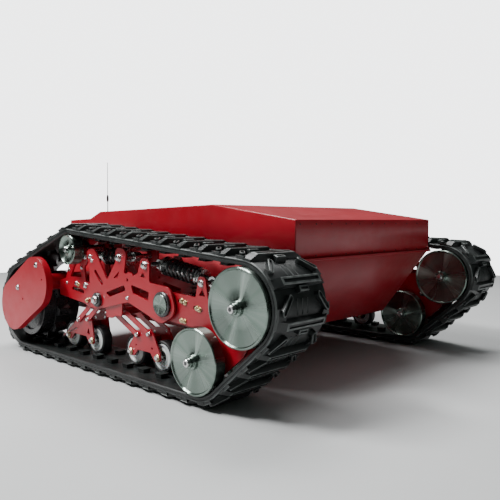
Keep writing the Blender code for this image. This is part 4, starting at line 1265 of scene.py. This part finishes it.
def bogie_bracket(side, tag, place, uppers, run):
    """Two windowed plates and a cross web, with the studs for the links and the axles' bolt heads."""
    node = f"{tag}_{place}_bogie_bracket"
    pins = sorted((x + run[0], z + run[1]) for x, z in uppers)
    (left_pin, left_z), (right_pin, right_z) = pins
    left, z = pivot(f"{tag}_{place}_bogie_rear_wheel_spin")
    right, _ = pivot(f"{tag}_{place}_bogie_front_wheel_spin")
    middle_x = (left_pin + right_pin) / 2
    outline = rounded(
        [
            (left - 0.009, z - 0.008, 0.007), (left + 0.010, z - 0.008, 0.005),
            (left + 0.022, z + 0.006, 0.005), (right - 0.022, z + 0.006, 0.005),
            (right - 0.010, z - 0.008, 0.005), (right + 0.009, z - 0.008, 0.007),
            (right + 0.007, z + 0.008, 0.006), (right_pin + 0.010, right_z, 0.006),
            (right_pin + 0.002, right_z + 0.009, 0.005), (left_pin - 0.002, left_z + 0.009, 0.005),
            (left_pin - 0.010, left_z, 0.006), (left - 0.007, z + 0.008, 0.006),
        ]
    )
    windows = []
    for axle, pin, way in ((left, left_pin, 1), (right, right_pin, -1)):
        corners = [(axle + way * 0.006, z + 0.010), (axle + way * 0.018, z + 0.013)]
        corners.append((pin + way * 0.003, left_z - 0.012))
        windows.append(window(corners))
    twin_plates(node, [outline, *windows], BRACKET_OUT, side, node, node)
    low, high = BRACKET_OUT
    web = Form()
    foot = beside(side, (middle_x - 0.0015, z + 0.008), -low)
    web.box(foot, beside(side, (middle_x + 0.0015, left_z - 0.004), low))
    soften(web.piece(f"{node}_web", [RED], node), FINE_EDGE)
    form = Form()
    out = Vector((0, side, 0))
    for x, pin_z in pins:
        middle = beside(side, (x, pin_z))
        for way in (-1, 1):
            form.rod(middle + out * way * low, middle + out * way * LINK_OUT[1], 0.0038, 16)
            form.hex_bolt(middle + out * way * LINK_OUT[1], out * way, 0.0036, 0.0024)
    for x in (left, right):
        middle = beside(side, (x, z))
        form.rod(middle - out * high, middle + out * high, 0.0050, 20)
        for way in (-1, 1):
            washer_end = middle + out * way * (high + 0.0022)
            form.tube(middle + out * way * high, washer_end, 0.0068, 0.0040, 24, slot=1)
            form.hex_bolt(middle + out * way * (high + 0.0020), out * way, 0.0042, 0.0030)
    form.piece(f"{node}_bolts", [STEEL, ZINC], node)


def bogie_wheel(side, node):
    """A white hub with a bearing, in a black tyre with rounded shoulders."""
    low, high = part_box(node)
    centre = (low + high) / 2
    radius = (high.z - low.z) / 2
    half = (high.y - low.y) / 2
    out = Vector((0, side, 0))
    hub_radius = radius * 0.80
    hub = Form()
    for way in (-1, 1):
        profile = [
            (0.0110, half - 0.0030), (0.0125, half - 0.0008), (0.0135, half - 0.0004),
            (0.0160, half - 0.0022), (hub_radius - 0.0045, half - 0.0022),
            (hub_radius - 0.0030, half - 0.0006), (hub_radius - 0.0006, half - 0.0006),
            (hub_radius, half - 0.0012), (hub_radius, 0.0), (0.0110, 0.0),
        ]
        hub.turned([(reach, way * height) for reach, height in profile], centre, out, 48, closed=True)
    hub.piece(f"{node}_hub", [NYLON], node)
    bearing = Form()
    for way in (-1, 1):
        face, back = half - 0.0024, half - 0.0080
        profile = [(0.0056, face), (0.0108, face), (0.0108, back), (0.0056, back)]
        bearing.turned([(reach, way * height) for reach, height in profile], centre, out, 32, closed=True)
    bearing.piece(f"{node}_bearing", [BLACK], node)
    tyre = Form()
    shoulder = 0.0035
    profile = [(hub_radius + 0.0002, half - 0.0014)]
    for way, turns in ((1, (0, 30, 60, 90)), (-1, (90, 60, 30, 0))):
        for degrees in turns:
            lean = math.radians(degrees)
            reach = radius - shoulder + shoulder * math.sin(lean)
            profile.append((reach, way * (half - shoulder + shoulder * math.cos(lean))))
    profile.append((hub_radius + 0.0002, 0.0014 - half))
    tyre.turned(profile, centre, out, 56, closed=True)
    tyre.piece(f"{node}_tyre", [TYRE], node, [node])


# --- stage ----------------------------------------------------------------------------------------------

CAMERA = Vector((0.970, -1.0272, 0.3126))
CAMERA_AZIMUTH = math.radians(43.08)
CAMERA_PITCH = math.radians(3.15)
CAMERA_ROLL = math.radians(0.30)
CAMERA_LENS = 42.27
FLOOR_RADIUS = 2.3
ROOM_LIGHT = 0.55


def camera():
    data = bpy.data.cameras.new("camera")
    data.lens = CAMERA_LENS
    data.sensor_width = 36
    obj = placed("camera", data)
    turn = Matrix.Rotation(CAMERA_AZIMUTH, 4, "Z") @ Matrix.Rotation(math.pi / 2 - CAMERA_PITCH, 4, "X")
    obj.matrix_world = Matrix.Translation(CAMERA) @ turn @ Matrix.Rotation(CAMERA_ROLL, 4, "Z")
    bpy.context.scene.camera = obj


def floor():
    """A round pale floor."""
    mesh = bpy.data.meshes.new("floor")
    form = bmesh.new()
    bmesh.ops.create_circle(form, cap_ends=True, segments=128, radius=FLOOR_RADIUS)
    form.to_mesh(mesh)
    form.free()
    obj = placed("floor", mesh)
    shader = Shader("pale_floor", (0.52, 0.53, 0.53), 0.65)
    patches = shader.spread(shader.noise(3, 3), 0, 1)
    shader.colour(shader.tint(patches, (0.51, 0.52, 0.52), (0.54, 0.55, 0.55)))
    mesh.materials.append(shader.material)


def area_light(name, place, target, width, height, power):
    data = bpy.data.lights.new(name, "AREA")
    data.shape = "RECTANGLE"
    data.size = width
    data.size_y = height
    data.energy = power
    obj = placed(name, data)
    place, target = Vector(place), Vector(target)
    aim = (target - place).to_track_quat("-Z", "Y").to_matrix().to_4x4()
    obj.matrix_world = Matrix.Translation(place) @ aim


def surroundings():
    """A pale backdrop for the camera. Reflections and light see a dim room, green-grey and paler overhead."""
    world = bpy.data.worlds.new("surroundings")
    world.use_nodes = True
    tree = world.node_tree
    tree.nodes.clear()

    def add(kind, **settings):
        node = tree.nodes.new(kind)
        for key, value in settings.items():
            setattr(node, key, value)
        return node

    coords = add("ShaderNodeTexCoord")
    split = add("ShaderNodeSeparateXYZ")
    ramp = add("ShaderNodeValToRGB")
    room = add("ShaderNodeBackground")
    backdrop = add("ShaderNodeBackground")
    path = add("ShaderNodeLightPath")
    mix = add("ShaderNodeMixShader")
    output = add("ShaderNodeOutputWorld")
    stops = ramp.color_ramp.elements
    stops[0].position, stops[0].color = 0.0, (0.045, 0.060, 0.050, 1)
    stops[1].position, stops[1].color = 0.95, (0.55, 0.57, 0.58, 1)
    middle = stops.new(0.30)
    middle.color = (0.085, 0.105, 0.092, 1)
    backdrop.inputs["Color"].default_value = (0.96, 0.97, 0.98, 1)
    backdrop.inputs["Strength"].default_value = 4.0
    room.inputs["Strength"].default_value = ROOM_LIGHT
    for source, target in (
        (coords.outputs["Generated"], split.inputs[0]),
        (split.outputs["Z"], ramp.inputs[0]),
        (ramp.outputs["Color"], room.inputs["Color"]),
        (path.outputs["Is Camera Ray"], mix.inputs[0]),
        (room.outputs[0], mix.inputs[1]),
        (backdrop.outputs[0], mix.inputs[2]),
        (mix.outputs[0], output.inputs["Surface"]),
    ):
        tree.links.new(source, target)
    bpy.context.scene.world = world


def studio():
    """A key panel over the right rear, a narrow strip over the right side and a wide panel over the left."""
    centre = (0.0, 0.0, 0.2)
    area_light("key", (-1.1, -1.8, 2.4), centre, 1.2, 0.4, 120)
    area_light("strip", (-0.35, -1.2, 2.5), centre, 0.25, 1.4, 40)
    area_light("roof", (-0.6, 0.9, 2.6), centre, 2.0, 0.8, 70)
    surroundings()


# --- the whole object -----------------------------------------------------------------------------------


def build():
    camera()
    floor()
    studio()
    hull()
    antenna()
    inner_works()
    for side, tag in SIDES:
        track(side, tag)
        dished_wheel(side, tag, f"{tag}_upper_front_wheel", UPPER_WHEEL, UPPER_RADIUS)
        dished_wheel(side, tag, f"{tag}_lower_front_wheel", LOWER_WHEEL, LOWER_RADIUS)
        idler(side, tag)
        sprocket(side, tag)
        chain_case(side, tag)
        side_frame(side, tag)
        front_arm(side, tag)
        rear_arm(side, tag)
        shock(side, tag, "front", FRONT_HORN, FRONT_EYE, 0.088, 7)
        shock(side, tag, "rear", REAR_HORN, REAR_EYE, 0.068, 5)
        bogie(side, tag, "rear")
        bogie(side, tag, "front")


build()
